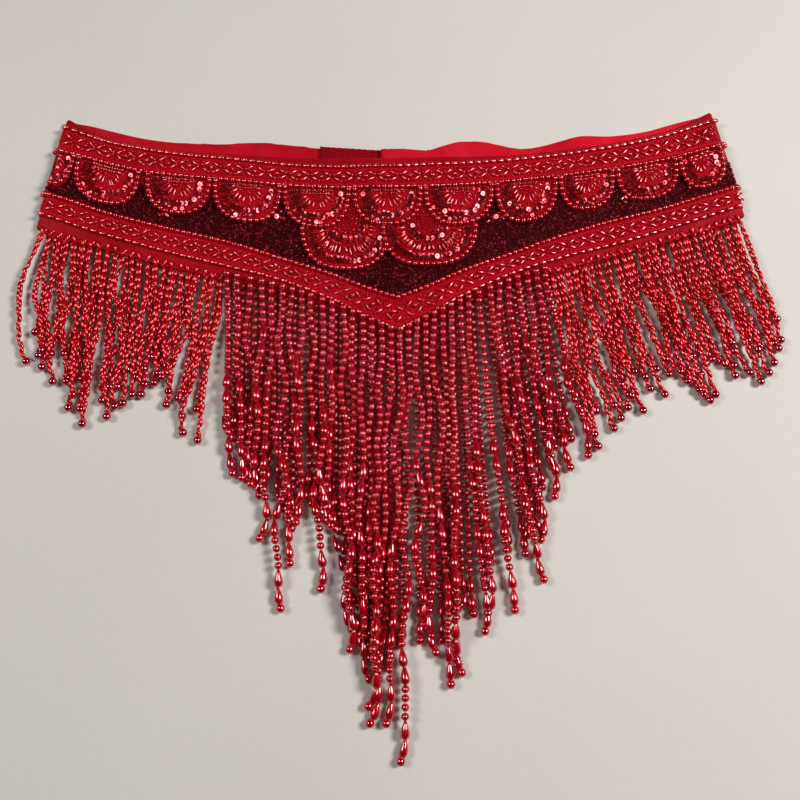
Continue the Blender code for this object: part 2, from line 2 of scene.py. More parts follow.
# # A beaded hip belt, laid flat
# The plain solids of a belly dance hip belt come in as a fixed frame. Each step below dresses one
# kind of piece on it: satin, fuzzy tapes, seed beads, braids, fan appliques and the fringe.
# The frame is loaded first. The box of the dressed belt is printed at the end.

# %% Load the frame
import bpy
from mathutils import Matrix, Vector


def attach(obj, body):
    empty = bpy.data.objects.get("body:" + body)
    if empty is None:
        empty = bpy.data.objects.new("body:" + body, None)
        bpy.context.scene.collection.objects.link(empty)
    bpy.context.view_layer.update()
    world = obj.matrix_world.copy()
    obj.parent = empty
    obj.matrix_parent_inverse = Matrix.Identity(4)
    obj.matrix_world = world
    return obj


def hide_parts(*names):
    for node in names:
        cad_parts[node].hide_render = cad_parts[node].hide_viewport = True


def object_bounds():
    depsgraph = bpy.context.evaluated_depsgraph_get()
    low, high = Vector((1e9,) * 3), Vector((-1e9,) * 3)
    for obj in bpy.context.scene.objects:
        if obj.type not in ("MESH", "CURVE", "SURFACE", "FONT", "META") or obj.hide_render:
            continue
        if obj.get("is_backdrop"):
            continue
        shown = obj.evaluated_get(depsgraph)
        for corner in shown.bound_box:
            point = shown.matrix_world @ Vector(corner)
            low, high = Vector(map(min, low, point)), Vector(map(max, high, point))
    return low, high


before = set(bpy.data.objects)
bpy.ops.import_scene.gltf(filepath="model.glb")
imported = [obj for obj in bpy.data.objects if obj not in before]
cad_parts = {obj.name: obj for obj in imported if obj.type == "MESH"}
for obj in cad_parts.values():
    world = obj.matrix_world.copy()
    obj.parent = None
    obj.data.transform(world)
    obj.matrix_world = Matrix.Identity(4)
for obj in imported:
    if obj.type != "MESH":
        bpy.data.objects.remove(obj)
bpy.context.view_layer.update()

# %% Blender and number tools
import math
import random
import bmesh
import bpy
import numpy as np
from mathutils import Vector

MM = 0.001
UP = np.array((0.0, 0.0, 1.0))
TURN = 6.28

# %% [markdown]
# ## Where the front lies
# On the real belt everything is sewn to the front in rows that follow its two curved edges. So the
# rows aren't placed by X and Y. They are placed by pattern coordinates: s runs along the belt, and
# t is the distance down from the top edge. One row of the table gives one section of the cloth: its
# ends, its four bead rows and its heights, in millimetres. Smooth curves join the sections.

# %% Sections of the front
CLOTH = 1.5
FOLD_RADIUS = 2.25
MIDDLE = (1.3, 3.6, 0.0)
COLUMNS = "s x_top y_top x_low y_low row_a row_b row_c row_d z_top z_mid z_low".split()
FRONT = np.array([
    (-240, -234.5, 215.0, -249.0, 132.0, 7.0, 25.5, 59.0, 74.0, 4.5, 4.5, 4.5),
    (-228, -222.0, 208.0, -235.0, 127.5, 4.8, 21.5, 56.0, 71.5, 3.9, 4.0, 4.4),
    (-208, -205.0, 201.0, -212.0, 121.5, 3.3, 19.5, 56.0, 71.5, 2.7, 3.1, 4.0),
    (-181, -180.0, 195.5, -182.0, 113.0, 2.9, 20.0, 58.5, 74.5, 2.0, 2.7, 3.9),
    (-150, -150.0, 191.5, -150.0, 104.0, 3.5, 20.0, 62.5, 79.5, 1.9, 3.1, 4.2),
    (-115, -115.0, 189.5, -115.0, 96.0, 5.0, 21.5, 69.5, 86.5, 2.0, 4.1, 5.0),
    (-80, -80.0, 186.5, -80.0, 87.5, 6.5, 22.5, 78.0, 93.0, 2.8, 4.7, 5.0),
    (-45, -45.0, 185.0, -45.0, 75.5, 7.5, 23.5, 88.0, 105.0, 4.4, 5.4, 5.0),
    (-20, -20.0, 184.5, -20.0, 64.5, 7.0, 22.8, 97.5, 117.0, 6.0, 6.1, 5.0),
    (0, 0.0, 184.5, 0.0, 56.0, 7.0, 23.0, 104.0, 126.0, 6.3, 6.4, 5.0),
    (20, 20.0, 185.0, 20.0, 66.0, 6.5, 23.0, 96.5, 116.0, 6.3, 6.4, 5.0),
    (45, 45.0, 186.0, 45.0, 78.0, 6.0, 22.5, 86.0, 103.0, 5.2, 5.7, 5.0),
    (80, 80.0, 188.5, 80.0, 93.0, 5.0, 21.5, 75.5, 89.5, 3.0, 4.8, 5.0),
    (115, 115.0, 192.5, 115.0, 104.5, 4.5, 21.0, 66.5, 82.0, 2.0, 4.1, 5.0),
    (150, 150.0, 198.0, 150.0, 114.0, 4.0, 21.0, 61.0, 78.0, 1.9, 3.1, 4.2),
    (181, 180.0, 204.5, 183.0, 123.5, 4.2, 22.0, 59.0, 74.5, 2.0, 2.7, 3.9),
    (207, 203.0, 211.5, 211.0, 132.0, 4.6, 23.3, 57.8, 72.8, 2.8, 3.1, 4.0),
    (231, 222.3, 220.5, 239.5, 141.0, 7.5, 26.5, 60.0, 74.0, 4.5, 4.5, 4.5),
])
S_LEFT, S_RIGHT = FRONT[0, 0], FRONT[-1, 0]
TIP_ROW = 9
print("front table:", FRONT.shape)

# %% Smooth curves through the sections
def smooth(keys, values, places):
    """Values at some places on a smooth curve through the keys, which rise."""
    keys, values = np.asarray(keys, float), np.asarray(values, float)
    places = np.asarray(places, float)
    slopes = np.diff(values) / np.diff(keys)
    tangents = np.concatenate([slopes[:1], (slopes[:-1] + slopes[1:]) / 2, slopes[-1:]])
    i = np.clip(np.searchsorted(keys, places, side="right") - 1, 0, len(keys) - 2)
    span = keys[i + 1] - keys[i]
    u = (places - keys[i]) / span
    start = (2 * u**3 - 3 * u**2 + 1) * values[i] + (u**3 - 2 * u**2 + u) * tangents[i] * span
    return start + (3 * u**2 - 2 * u**3) * values[i + 1] + (u**3 - u**2) * tangents[i + 1] * span


def front_column(name, s):
    """A column of the table at s. The two halves meet in a corner at the point of the V."""
    column = COLUMNS.index(name)
    s = np.clip(np.asarray(s, float), S_LEFT, S_RIGHT)
    left, right = FRONT[: TIP_ROW + 1], FRONT[TIP_ROW:]
    on_left = smooth(left[:, 0], left[:, column], np.minimum(s, 0))
    on_right = smooth(right[:, 0], right[:, column], np.maximum(s, 0))
    return np.where(s < 0, on_left, on_right)


print("point of the V at y:", front_column("y_low", 0))

# %% [markdown]
# ## A fine grid of the front
# The table is turned once into a grid of points about 4 mm apart, with the direction that points
# out of the cloth at each one. Anything sewn on the front then asks this grid for its place.
# Asking a grid is quick, and thousands of beads ask it.

# %% Grid and normals of the front
GRID_STEP = 3.9
DEPTH_STEPS = 28


def even_steps(first, last, spacing):
    return np.linspace(first, last, max(1, round(abs(last - first) / spacing)) + 1)


GRID_S = np.concatenate([even_steps(S_LEFT, 0, GRID_STEP), even_steps(0, S_RIGHT, GRID_STEP)[1:]])
SHARES = np.linspace(0, 1, DEPTH_STEPS)


def front_sections(s, shares):
    """Middle layer of the front's cloth: an array of stations by depths by XYZ."""
    top = np.stack([front_column("x_top", s), front_column("y_top", s)], axis=-1)
    low = np.stack([front_column("x_low", s), front_column("y_low", s)], axis=-1)
    flat = top[:, None] + (low - top)[:, None] * shares[None, :, None]
    z_top, z_mid, z_low = (front_column(name, s)[:, None] for name in ("z_top", "z_mid", "z_low"))
    u = shares[None, :]
    height = z_top * (1 - u) * (1 - 2 * u) + z_mid * 4 * u * (1 - u) + z_low * u * (2 * u - 1)
    return np.concatenate([flat, (height + CLOTH / 2)[..., None]], axis=-1)


def unit(ways):
    return ways / np.linalg.norm(ways, axis=-1, keepdims=True)


def grid_normals(grid):
    """Normals of a grid of points, those that look up."""
    along = np.gradient(grid, axis=0)
    down = np.gradient(grid, axis=1)
    normals = unit(np.cross(down, along))
    return np.where(normals[..., 2:] < 0, -normals, normals)


GRID = front_sections(GRID_S, SHARES)
NORMALS = grid_normals(GRID)
LENGTHS = np.linalg.norm((GRID[:, -1] - GRID[:, 0])[:, :2], axis=1)
print("grid:", GRID.shape, "deepest section:", round(LENGTHS.max()), "mm")

# %% From pattern coordinates to places
def fold_out(side):
    """Direction that points out of the belt at a side fold. side is -1 or 1."""
    line = (GRID[0] if side < 0 else GRID[-1])[[0, -1]]
    across = line[1] - line[0]
    out = unit(np.array((across[1], -across[0], 0.0)))
    return out if out[0] * side > 0 else -out


def on_front(s, t, out=0.0):
    """Places in millimetres and outward normals for pattern coordinates, moved out from the cloth."""
    s, t, out = np.broadcast_arrays(*(np.asarray(x, float) for x in (s, t, out)))
    inside = np.clip(s, S_LEFT, S_RIGHT)
    share = np.clip(t / np.interp(inside, GRID_S, LENGTHS), 0, 1) * (DEPTH_STEPS - 1)
    row = np.clip(np.searchsorted(GRID_S, inside, side="right") - 1, 0, len(GRID_S) - 2)
    along = ((inside - GRID_S[row]) / (GRID_S[row + 1] - GRID_S[row]))[..., None]
    col = np.minimum(share.astype(int), DEPTH_STEPS - 2)
    down = (share - col)[..., None]

    def mixed(grid):
        near = grid[row, col] * (1 - down) + grid[row, col + 1] * down
        far = grid[row + 1, col] * (1 - down) + grid[row + 1, col + 1] * down
        return near * (1 - along) + far * along

    point, normal = mixed(GRID), mixed(NORMALS)
    for side in (-1, 1):
        past = np.maximum(S_LEFT - s if side < 0 else s - S_RIGHT, 0.0)
        turned = past > 0
        angle = (past / FOLD_RADIUS)[..., None]
        turn = fold_out(side) * np.sin(angle) + UP * np.cos(angle)
        point = np.where(turned[..., None], point + (turn - UP) * FOLD_RADIUS, point)
        normal = np.where(turned[..., None], turn, normal)
    normal = unit(normal)
    return point + normal * (CLOTH / 2 + out)[..., None], normal


print("middle of the front:", on_front(0, LENGTHS.max() / 2)[0].round(1))

# %% [markdown]
# ## Making meshes
# Every piece is kept in one place: its object stays at the origin, and the place is in its points.
# One helper turns points in millimetres into an object in metres. Another makes a closed sheet from
# two grids of points that match, and writes a UV map in metres along the cloth for its weave.

# %% Mesh helpers
def to_metres(points):
    return (np.asarray(points, float) - MIDDLE) * MM


def new_object(name, mesh):
    made = bpy.data.objects.new(name, mesh)
    bpy.context.scene.collection.objects.link(made)
    return made


def face_outwards(mesh):
    shell = bmesh.new()
    shell.from_mesh(mesh)
    bmesh.ops.recalc_face_normals(shell, faces=shell.faces)
    shell.to_mesh(mesh)
    shell.free()


def sheet_between(name, outer, inner, finish, uv):
    """A closed sheet between two grids of points. uv says how far along the cloth each point is."""
    rows, columns = outer.shape[:2]
    count = rows * columns
    index = np.arange(count).reshape(rows, columns)
    quads = []
    for i in range(rows - 1):
        for j in range(columns - 1):
            a, b, c, d = index[i, j], index[i + 1, j], index[i + 1, j + 1], index[i, j + 1]
            quads.append((a, b, c, d))
            quads.append((a + count, d + count, c + count, b + count))
    rim = list(index[0, :]) + list(index[1:, -1]) + list(index[-1, -2::-1]) + list(index[-2:0:-1, 0])
    for a, b in zip(rim, rim[1:] + rim[:1]):
        quads.append((a, b, b + count, a + count))
    points = to_metres(np.concatenate([outer.reshape(-1, 3), inner.reshape(-1, 3)]))
    mesh = bpy.data.meshes.new(name)
    mesh.from_pydata(points.tolist(), [], quads)
    face_outwards(mesh)
    both = np.concatenate([uv.reshape(-1, 2), uv.reshape(-1, 2)]) * MM
    corners = np.empty(len(mesh.loops), int)
    mesh.loops.foreach_get("vertex_index", corners)
    mesh.uv_layers.new(name="weave").data.foreach_set("uv", both[corners].ravel())
    mesh.shade_smooth()
    mesh.materials.append(finish)
    return new_object(name, mesh)


def mark_points(mesh, name, values):
    """Keeps one number for each point of a mesh, for its tree or its finish to read."""
    layer = mesh.attributes.new(name, "FLOAT", "POINT")
    layer.data.foreach_set("value", np.asarray(values, float).ravel())


def triangles(piece):
    return sum(len(face.vertices) - 2 for face in piece.data.polygons)


# %% [markdown]
# ## Beads as turned shapes
# A bead is a small turned shape: a profile swept round its hole. Only one of each kind is modelled,
# one unit wide and one unit long, with a few dozen faces. Geometry Nodes copy it thousands of times
# and stretch it to the size that the string needs. The patterns are deleted at the end.

# %% Patterns for the beads
patterns = []


def turned_bead(name, profile, sides, flat=False, ring=False):
    """A bead turned round Z from (height, radius) pairs. ring joins the last pair to the first."""
    shape = bmesh.new()
    rings = []
    for height, radius in profile:
        if radius == 0:
            rings.append([shape.verts.new((0, 0, height))])
            continue
        angles = [2 * math.pi * i / sides for i in range(sides)]
        places = [(radius * math.cos(a), radius * math.sin(a), height) for a in angles]
        rings.append([shape.verts.new(place) for place in places])
    pairs = list(zip(rings, rings[1:])) + ([(rings[-1], rings[0])] if ring else [])
    for near, far in pairs:
        for i in range(sides):
            j = (i + 1) % sides
            corners = [near[i % len(near)], near[j % len(near)]]
            corners += [far[j % len(far)], far[i % len(far)]]
            shape.faces.new(list(dict.fromkeys(corners)))
    bmesh.ops.recalc_face_normals(shape, faces=shape.faces)
    mesh = bpy.data.meshes.new(name)
    shape.to_mesh(mesh)
    shape.free()
    if not flat:
        mesh.shade_smooth()
    made = new_object(name, mesh)
    made.hide_render = True
    patterns.append(made)
    return made


# %% One pattern of each kind
def round_profile(rings):
    """Half a circle, one unit high and wide."""
    angles = [math.pi * i / rings for i in range(rings + 1)]
    radii = [0.0] + [0.5 * math.sin(a) for a in angles[1:-1]] + [0.0]
    return [(-math.cos(a) / 2, radius) for a, radius in zip(angles, radii)]


def mirrored(half):
    """A profile from its upper half, which may start with a point in the middle."""
    return [(-height, radius) for height, radius in reversed(half) if height] + half


pearl_bead = turned_bead("pattern_pearl", round_profile(6), 8)
seed_bead = turned_bead("pattern_seed", round_profile(3), 6)
OVAL_HALF = [(0.22, 0.5), (0.33, 0.46), (0.45, 0.28), (0.5, 0)]
RICE_HALF = [(0, 0.5), (0.30, 0.44), (0.47, 0.24), (0.5, 0)]
BUGLE_HALF = [(0, 0.5), (0.32, 0.45), (0.49, 0.30), (0.5, 0)]
oval_bead = turned_bead("pattern_oval", mirrored(OVAL_HALF), 8)
rice_bead = turned_bead("pattern_rice", mirrored(RICE_HALF), 6)
bugle_bead = turned_bead("pattern_bugle", mirrored(BUGLE_HALF), 7)
DROP_PROFILE = [
    (0.0, 0), (0.02, 0.24), (0.10, 0.42), (0.24, 0.5), (0.44, 0.46),
    (0.64, 0.36), (0.82, 0.24), (0.98, 0.16), (1.0, 0),
]
drop_bead = turned_bead("pattern_drop", [(h - 0.5, r) for h, r in DROP_PROFILE], 8)
CUP_PROFILE = [(0.0, 0.13), (0.01, 0.32), (0.06, 0.5), (0.03, 0.5), (-0.02, 0.32), (-0.03, 0.13)]
cup_sequin = turned_bead("pattern_sequin", CUP_PROFILE, 8, flat=True, ring=True)
print("bead patterns:", {p.name: triangles(p) for p in patterns})

# %% [markdown]
# ## Writing node trees in a script
# A node tree is easy to read in a script when each node takes one call: what it is, what feeds it,
# and how it is set. The same helper serves Geometry Nodes and materials.

# %% Node helpers
def output_of(value):
    """A node stands for its first socket that is in use."""
    if isinstance(value, bpy.types.Node):
        return next(socket for socket in value.outputs if socket.enabled)
    return value


def add(tree, kind, feed=None, **settings):
    """Adds a node, sets it, and feeds its inputs, named or numbered, with values or other nodes."""
    made = tree.nodes.new(kind)
    for key, value in settings.items():
        setattr(made, key, value)
    for key, value in (feed or {}).items():
        usable = [socket for socket in made.inputs if socket.enabled]
        socket = usable[key] if isinstance(key, int) else next(s for s in usable if s.name == key)
        value = output_of(value)
        if isinstance(value, bpy.types.NodeSocket):
            tree.links.new(value, socket)
        else:
            socket.default_value = value
    return made


def calc(tree, operation, *values):
    return add(tree, "ShaderNodeMath", dict(enumerate(values)), operation=operation)


def vector(tree, operation, *values):
    return add(tree, "ShaderNodeVectorMath", dict(enumerate(values)), operation=operation)


def scaled(tree, direction, factor):
    made = vector(tree, "SCALE", direction)
    tree.links.new(output_of(factor), made.inputs["Scale"])
    return made


# %% [markdown]
# ## Geometry Nodes: the parts that every tree shares
# Each tree starts from a mesh of points or lines and ends the same way. Every copy of a bead gets a
# random number called tint, so that the beads' colours differ a little, then the copies are made
# real and painted. The helper called harvest runs a tree and keeps its result as a plain mesh.

# %% Start, end and run a tree
SOCKETS = {
    "Bead": "NodeSocketObject",
    "Drop": "NodeSocketObject",
    "Finish": "NodeSocketMaterial",
    "Seed": "NodeSocketInt",
}


def new_tree(name, *inputs):
    """An empty tree with a geometry input and the named ones: lengths, unless listed above."""
    tree = bpy.data.node_groups.new(name, "GeometryNodeTree")
    tree.interface.new_socket("Geometry", in_out="INPUT", socket_type="NodeSocketGeometry")
    for label in inputs:
        kind = SOCKETS.get(label, "NodeSocketFloat")
        tree.interface.new_socket(label, in_out="INPUT", socket_type=kind)
    tree.interface.new_socket("Geometry", in_out="OUTPUT", socket_type="NodeSocketGeometry")
    return tree, tree.nodes.new("NodeGroupInput").outputs


# %% Nodes that several trees share
def bead_in(tree, entry, label="Bead"):
    info = add(tree, "GeometryNodeObjectInfo", {"Object": entry[label], "As Instance": True})
    return info.outputs["Geometry"]


def named(tree, name, data_type="FLOAT"):
    return add(tree, "GeometryNodeInputNamedAttribute", {"Name": name}, data_type=data_type)


def curves_in(tree, entry):
    return add(tree, "GeometryNodeMeshToCurve", {"Mesh": entry["Geometry"]})


def cut_into(tree, curve, length):
    """Cuts curves into even steps. length is a socket or a number of metres."""
    steps = add(tree, "GeometryNodeResampleCurve", {"Curve": curve}, mode="LENGTH")
    if isinstance(length, bpy.types.NodeSocket):
        tree.links.new(length, steps.inputs["Length"])
    else:
        steps.inputs["Length"].default_value = length
    return steps


def along_thread(tree):
    """The thread's direction, and the turn that lays a bead's hole along it."""
    tangent = add(tree, "GeometryNodeInputTangent")
    return tangent, add(tree, "FunctionNodeAlignRotationToVector", {"Vector": tangent}, axis="Z")


def bead_size(tree, width, length):
    return add(tree, "ShaderNodeCombineXYZ", {0: width, 1: width, 2: length})


def uneven_size(tree, entry):
    """The size from the inputs, a little larger or smaller from one bead to the next."""
    most = calc(tree, "ADD", 1.0, entry["Unevenness"])
    least = calc(tree, "SUBTRACT", 1.0, entry["Unevenness"])
    factor = random_between(tree, least, most, entry["Seed"])
    return scaled(tree, bead_size(tree, entry["Width"], entry["Length"]), factor)


def copies(tree, points, bead, turn, size, **chosen):
    """A bead on each point, or on the chosen ones."""
    feed = {"Points": points, "Instance": bead, "Rotation": turn, "Scale": size, **chosen}
    return add(tree, "GeometryNodeInstanceOnPoints", feed)


def random_between(tree, low, high, seed):
    feed = {"Min": low, "Max": high, "Seed": seed}
    return add(tree, "FunctionNodeRandomValue", feed, data_type="FLOAT")


# %% The end of a tree, and how it is run
def finish_tree(tree, entry, *groups):
    """Joins the copies, gives each its tint, makes them real and paints them."""
    joined = add(tree, "GeometryNodeJoinGeometry")
    for group in reversed(groups):
        tree.links.new(output_of(group), joined.inputs[0])
    tint = random_between(tree, 0.0, 1.0, entry["Seed"])
    marked = add(
        tree,
        "GeometryNodeStoreNamedAttribute",
        {"Geometry": joined, "Name": "tint", "Value": tint},
        data_type="FLOAT",
        domain="INSTANCE",
    )
    real = add(tree, "GeometryNodeRealizeInstances", {"Geometry": marked})
    painted = add(tree, "GeometryNodeSetMaterial", {"Geometry": real, "Material": entry["Finish"]})
    leave = tree.nodes.new("NodeGroupOutput")
    tree.links.new(painted.outputs[0], leave.inputs[0])
    return tree


def harvest(name, source, tree, **sizes):
    """Runs a tree on a source, which is used up, and returns the result as a plain mesh object."""
    modifier = source.modifiers.new("make", "NODES")
    modifier.node_group = tree
    for item in tree.interface.items_tree:
        if item.in_out == "INPUT" and item.name in sizes:
            modifier[item.identifier] = sizes[item.name]
    graph = bpy.context.evaluated_depsgraph_get()
    mesh = bpy.data.meshes.new_from_object(source.evaluated_get(graph), depsgraph=graph)
    bpy.data.objects.remove(source)
    mesh.name = name
    made = new_object(name, mesh)
    print(name, triangles(made), "triangles")
    return made


# %% Sources that carry numbers on their points
def path_source(name, lines, **attributes):
    """A mesh of open lines of points in millimetres, with one number per line for each attribute."""
    edges = []
    start = 0
    for line in lines:
        edges += [(start + i, start + i + 1) for i in range(len(line) - 1)]
        start += len(line)
    mesh = bpy.data.meshes.new(name)
    mesh.from_pydata(to_metres(np.concatenate(lines)).tolist(), edges, [])
    for key, values in attributes.items():
        spread = np.concatenate([np.full(len(line), float(v)) for line, v in zip(lines, values)])
        mark_points(mesh, key, spread)
    return new_object(name, mesh)


def sewn_source(name, places, aims, faces, sizes):
    """A cloud of points for beads sewn one by one: aim is the way the hole runs, and face is up."""
    mesh = bpy.data.meshes.new(name)
    mesh.from_pydata(to_metres(places).tolist(), [], [])
    for key, values in (("aim", aims), ("face", faces), ("size", np.asarray(sizes, float) * MM)):
        layer = mesh.attributes.new(key, "FLOAT_VECTOR", "POINT")
        layer.data.foreach_set("vector", np.broadcast_to(values, (len(places), 3)).ravel())
    return new_object(name, mesh)


# %% [markdown]
# ## Geometry Nodes: beads along a path
# A row of beads is a thread with beads at an even pitch. The tree turns the lines into curves, cuts
# them into equal steps and puts a bead on each step, with its hole along the thread.

# %% Tree for a row of beads
def row_tree():
    labels = ("Bead", "Finish", "Seed", "Pitch", "Width", "Length", "Unevenness")
    tree, entry = new_tree("beads in a row", *labels)
    steps = cut_into(tree, curves_in(tree, entry), entry["Pitch"])
    _, turn = along_thread(tree)
    beads = copies(tree, steps, bead_in(tree, entry), turn, uneven_size(tree, entry))
    return finish_tree(tree, entry, beads)


BEADS_IN_A_ROW = row_tree()
print("tree:", BEADS_IN_A_ROW.name, "with", len(BEADS_IN_A_ROW.nodes), "nodes")

# %% [markdown]
# ## Geometry Nodes: beads sewn one by one
# Bugles, sequins and the small seeds between them don't follow one thread. Each has its own place,
# aim and size, so the tree reads them from the points of a cloud.

# %% Tree for sewn beads
def sewn_tree():
    tree, entry = new_tree("sewn beads", "Bead", "Finish", "Seed")
    aim, face, size = (named(tree, key, "FLOAT_VECTOR") for key in ("aim", "face", "size"))
    feed = {"Primary Axis": aim, "Secondary Axis": face}
    turn = add(tree, "FunctionNodeAxesToRotation", feed, primary_axis="Z", secondary_axis="X")
    beads = copies(tree, entry["Geometry"], bead_in(tree, entry), turn, size)
    return finish_tree(tree, entry, beads)


SEWN_BEADS = sewn_tree()
print("tree:", SEWN_BEADS.name, "with", len(SEWN_BEADS.nodes), "nodes")

# %% [markdown]
# ## Geometry Nodes: a twisted pair
# The side fringe is rope-like: two strings of rice beads twisted round each other. The tree moves a
# strand's curve sideways round itself like a screw, once for each string, half a turn apart. Beads
# then follow those two curves, so they lean over the rope by themselves. One string starts half a
# bead later, so that its beads fill the dips of the other.

# %% Tree for a twisted pair
FINE_STEP = 1.1 * MM


def twist_tree():
    labels = ("Bead", "Finish", "Seed", "Turn", "Spread", "Width", "Length")
    tree, entry = new_tree("twisted pair", *labels)
    fine = cut_into(tree, curves_in(tree, entry), FINE_STEP)
    along = add(tree, "GeometryNodeSplineParameter").outputs["Length"]
    turns = calc(tree, "ADD", calc(tree, "DIVIDE", along, entry["Turn"]), named(tree, "phase"))
    tangent, turn = along_thread(tree)
    side = vector(tree, "NORMALIZE", vector(tree, "CROSS_PRODUCT", tangent, (0.0, 0.0, 1.0)))
    above = vector(tree, "CROSS_PRODUCT", side, tangent)
    plies = []
    for half in (0.0, 0.5):
        angle = calc(tree, "MULTIPLY", calc(tree, "ADD", turns, half), 2 * math.pi)
        parts = [
            scaled(tree, direction, calc(tree, "MULTIPLY", calc(tree, wave, angle), entry["Spread"]))
            for direction, wave in ((side, "COSINE"), (above, "SINE"))
        ]
        offset = vector(tree, "ADD", *parts)
        moved = add(tree, "GeometryNodeSetPosition", {"Geometry": fine, "Offset": offset})
        later = add(tree, "GeometryNodeTrimCurve", {"Curve": moved}, mode="LENGTH")
        shift = calc(tree, "MULTIPLY", entry["Length"], half)
        tree.links.new(output_of(shift), later.inputs["Start_001"])
        steps = cut_into(tree, later, entry["Length"])
        size = bead_size(tree, entry["Width"], entry["Length"])
        plies.append(copies(tree, steps, bead_in(tree, entry), turn, size))
    return finish_tree(tree, entry, *plies)


TWISTED_PAIR = twist_tree()
print("tree:", TWISTED_PAIR.name, "with", len(TWISTED_PAIR.nodes), "nodes")

# %% [markdown]
# ## Geometry Nodes: a string of pearls and drops
# The middle fringe is strung to a pattern that counts up from its end: one large pearl, two drops,
# four pearls, two drops, and so on, then pearls up to the hem. A drop is as long as two pearls. So
# the tree cuts each strand into even slots from its lower end and picks a bead by the slot's number.

# %% Tree for pearls and drops
SLOTS_IN_A_REPEAT = 8.0
DROP_SLOTS = 4.0
DROP_LENGTH = 2.12


def strand_tree():
    labels = ("Bead", "Drop", "Finish", "Seed", "Pitch", "Width", "Drop width", "End width")
    tree, entry = new_tree("pearls and drops", *labels)
    slots = cut_into(tree, curves_in(tree, entry), entry["Pitch"])
    tangent, turn = along_thread(tree)
    number = add(tree, "GeometryNodeSplineParameter").outputs["Index"]
    counted = calc(tree, "SUBTRACT", number, 1.0)
    inside = calc(tree, "MODULO", counted, SLOTS_IN_A_REPEAT)
    repeat = calc(tree, "FLOOR", calc(tree, "DIVIDE", counted, SLOTS_IN_A_REPEAT))
    patterned = calc(tree, "LESS_THAN", repeat, named(tree, "repeats"))
    above_end = calc(tree, "GREATER_THAN", number, 0.5)
    drop_slots = calc(tree, "MULTIPLY", calc(tree, "LESS_THAN", inside, DROP_SLOTS - 0.5), patterned)
    drop_slots = calc(tree, "MULTIPLY", drop_slots, above_end)
    starts = calc(tree, "LESS_THAN", calc(tree, "MODULO", inside, 2.0), 0.5)
    drop_here = calc(tree, "MULTIPLY", drop_slots, starts)
    pearl_here = calc(tree, "MULTIPLY", calc(tree, "SUBTRACT", 1.0, drop_slots), above_end)
    end_here = calc(tree, "SUBTRACT", 1.0, above_end)

    def beads(chosen, label, width, length, points):
        bead, size = bead_in(tree, entry, label), bead_size(tree, width, length)
        return copies(tree, points, bead, turn, size, Selection=chosen)

    pearls = beads(pearl_here, "Bead", entry["Width"], entry["Width"], slots)
    ends = beads(end_here, "Bead", entry["End width"], entry["End width"], slots)
    half_slot = scaled(tree, tangent, calc(tree, "MULTIPLY", entry["Pitch"], 0.5))
    upper = add(tree, "GeometryNodeSetPosition", {"Geometry": slots, "Offset": half_slot})
    drop_length = calc(tree, "MULTIPLY", entry["Pitch"], DROP_LENGTH)
    drops = beads(drop_here, "Drop", entry["Drop width"], drop_length, upper)
    return finish_tree(tree, entry, pearls, ends, drops)


PEARLS_AND_DROPS = strand_tree()
print("tree:", PEARLS_AND_DROPS.name, "with", len(PEARLS_AND_DROPS.nodes), "nodes")

# %% [markdown]
# ## Geometry Nodes: seeds scattered on a surface
# The dark ground is packed with tiny garnet beads. Points are spread over it at least a bead's width
# apart, only where the attribute called open is 1, because no seed is sewn under an applique.

# %% Tree for scattered seeds
MOST_SEEDS = 900000.0
ANY_WAY = (TURN, TURN, TURN)


def scatter_tree():
    labels = ("Bead", "Finish", "Seed", "Spacing", "Width", "Length", "Unevenness")
    tree, entry = new_tree("scattered seeds", *labels)
    spread = add(
        tree,
        "GeometryNodeDistributePointsOnFaces",
        {
            "Mesh": entry["Geometry"],
            "Distance Min": entry["Spacing"],
            "Density Max": MOST_SEEDS,
            "Density Factor": named(tree, "open"),
            "Seed": entry["Seed"],
        },
        distribute_method="POISSON",
    )
    feed = {"Min": (0.0, 0.0, 0.0), "Max": ANY_WAY, "Seed": entry["Seed"]}
    spin = add(tree, "FunctionNodeRandomValue", feed, data_type="FLOAT_VECTOR")
    bead, size = bead_in(tree, entry), uneven_size(tree, entry)
    return finish_tree(tree, entry, copies(tree, spread.outputs["Points"], bead, spin, size))


SCATTERED_SEEDS = scatter_tree()
print("trees:", [tree.name for tree in bpy.data.node_groups])

# %% [markdown]
# ## Finishes: beads
# All the beads are the same crimson with a pearly or glassy skin, but their colours differ a little
# from one to the next. Each finish mixes two colours by the bead's tint, then clouds them with a
# fine noise. The gloss is a clear coat over a partly metallic body.

# %% Bead finishes
def new_finish(
    name, roughness, metallic=0.0, coat=0.0, coat_ior=1.5, specular=0.5, coat_roughness=0.1
):
    """A new material with its tree and its shader, ready for a colour."""
    made = bpy.data.materials.new(name)
    made.use_nodes = True
    shader = made.node_tree.nodes["Principled BSDF"]
    for key, value in (
        ("Roughness", roughness),
        ("Metallic", metallic),
        ("Coat Weight", coat),
        ("Coat Roughness", coat_roughness),
        ("Coat IOR", coat_ior),
        ("Specular IOR Level", specular),
        ("Specular Tint", (1.0, 0.12, 0.15, 1.0)),
    ):
        shader.inputs[key].default_value = value
    return made, made.node_tree, shader


def noise(tree, size, detail=2.0):
    """Noise in the object's own coordinates. size is that of its spots, in metres."""
    place = add(tree, "ShaderNodeTexCoord").outputs["Object"]
    feed = {"Vector": place, "Scale": 0.5 / size, "Detail": detail}
    return add(tree, "ShaderNodeTexNoise", feed).outputs["Fac"]


def mix_colours(tree, factor, first, second):
    ends = [(*end, 1.0) if isinstance(end, tuple) else end for end in (first, second)]
    feed = {"Factor": factor, "A": ends[0], "B": ends[1]}
    return add(tree, "ShaderNodeMix", feed, data_type="RGBA").outputs["Result"]


def stretch(tree, value, low, high, to_low=0.0, to_high=1.0):
    feed = {0: value, 1: low, 2: high, 3: to_low, 4: to_high}
    return add(tree, "ShaderNodeMapRange", feed).outputs["Result"]


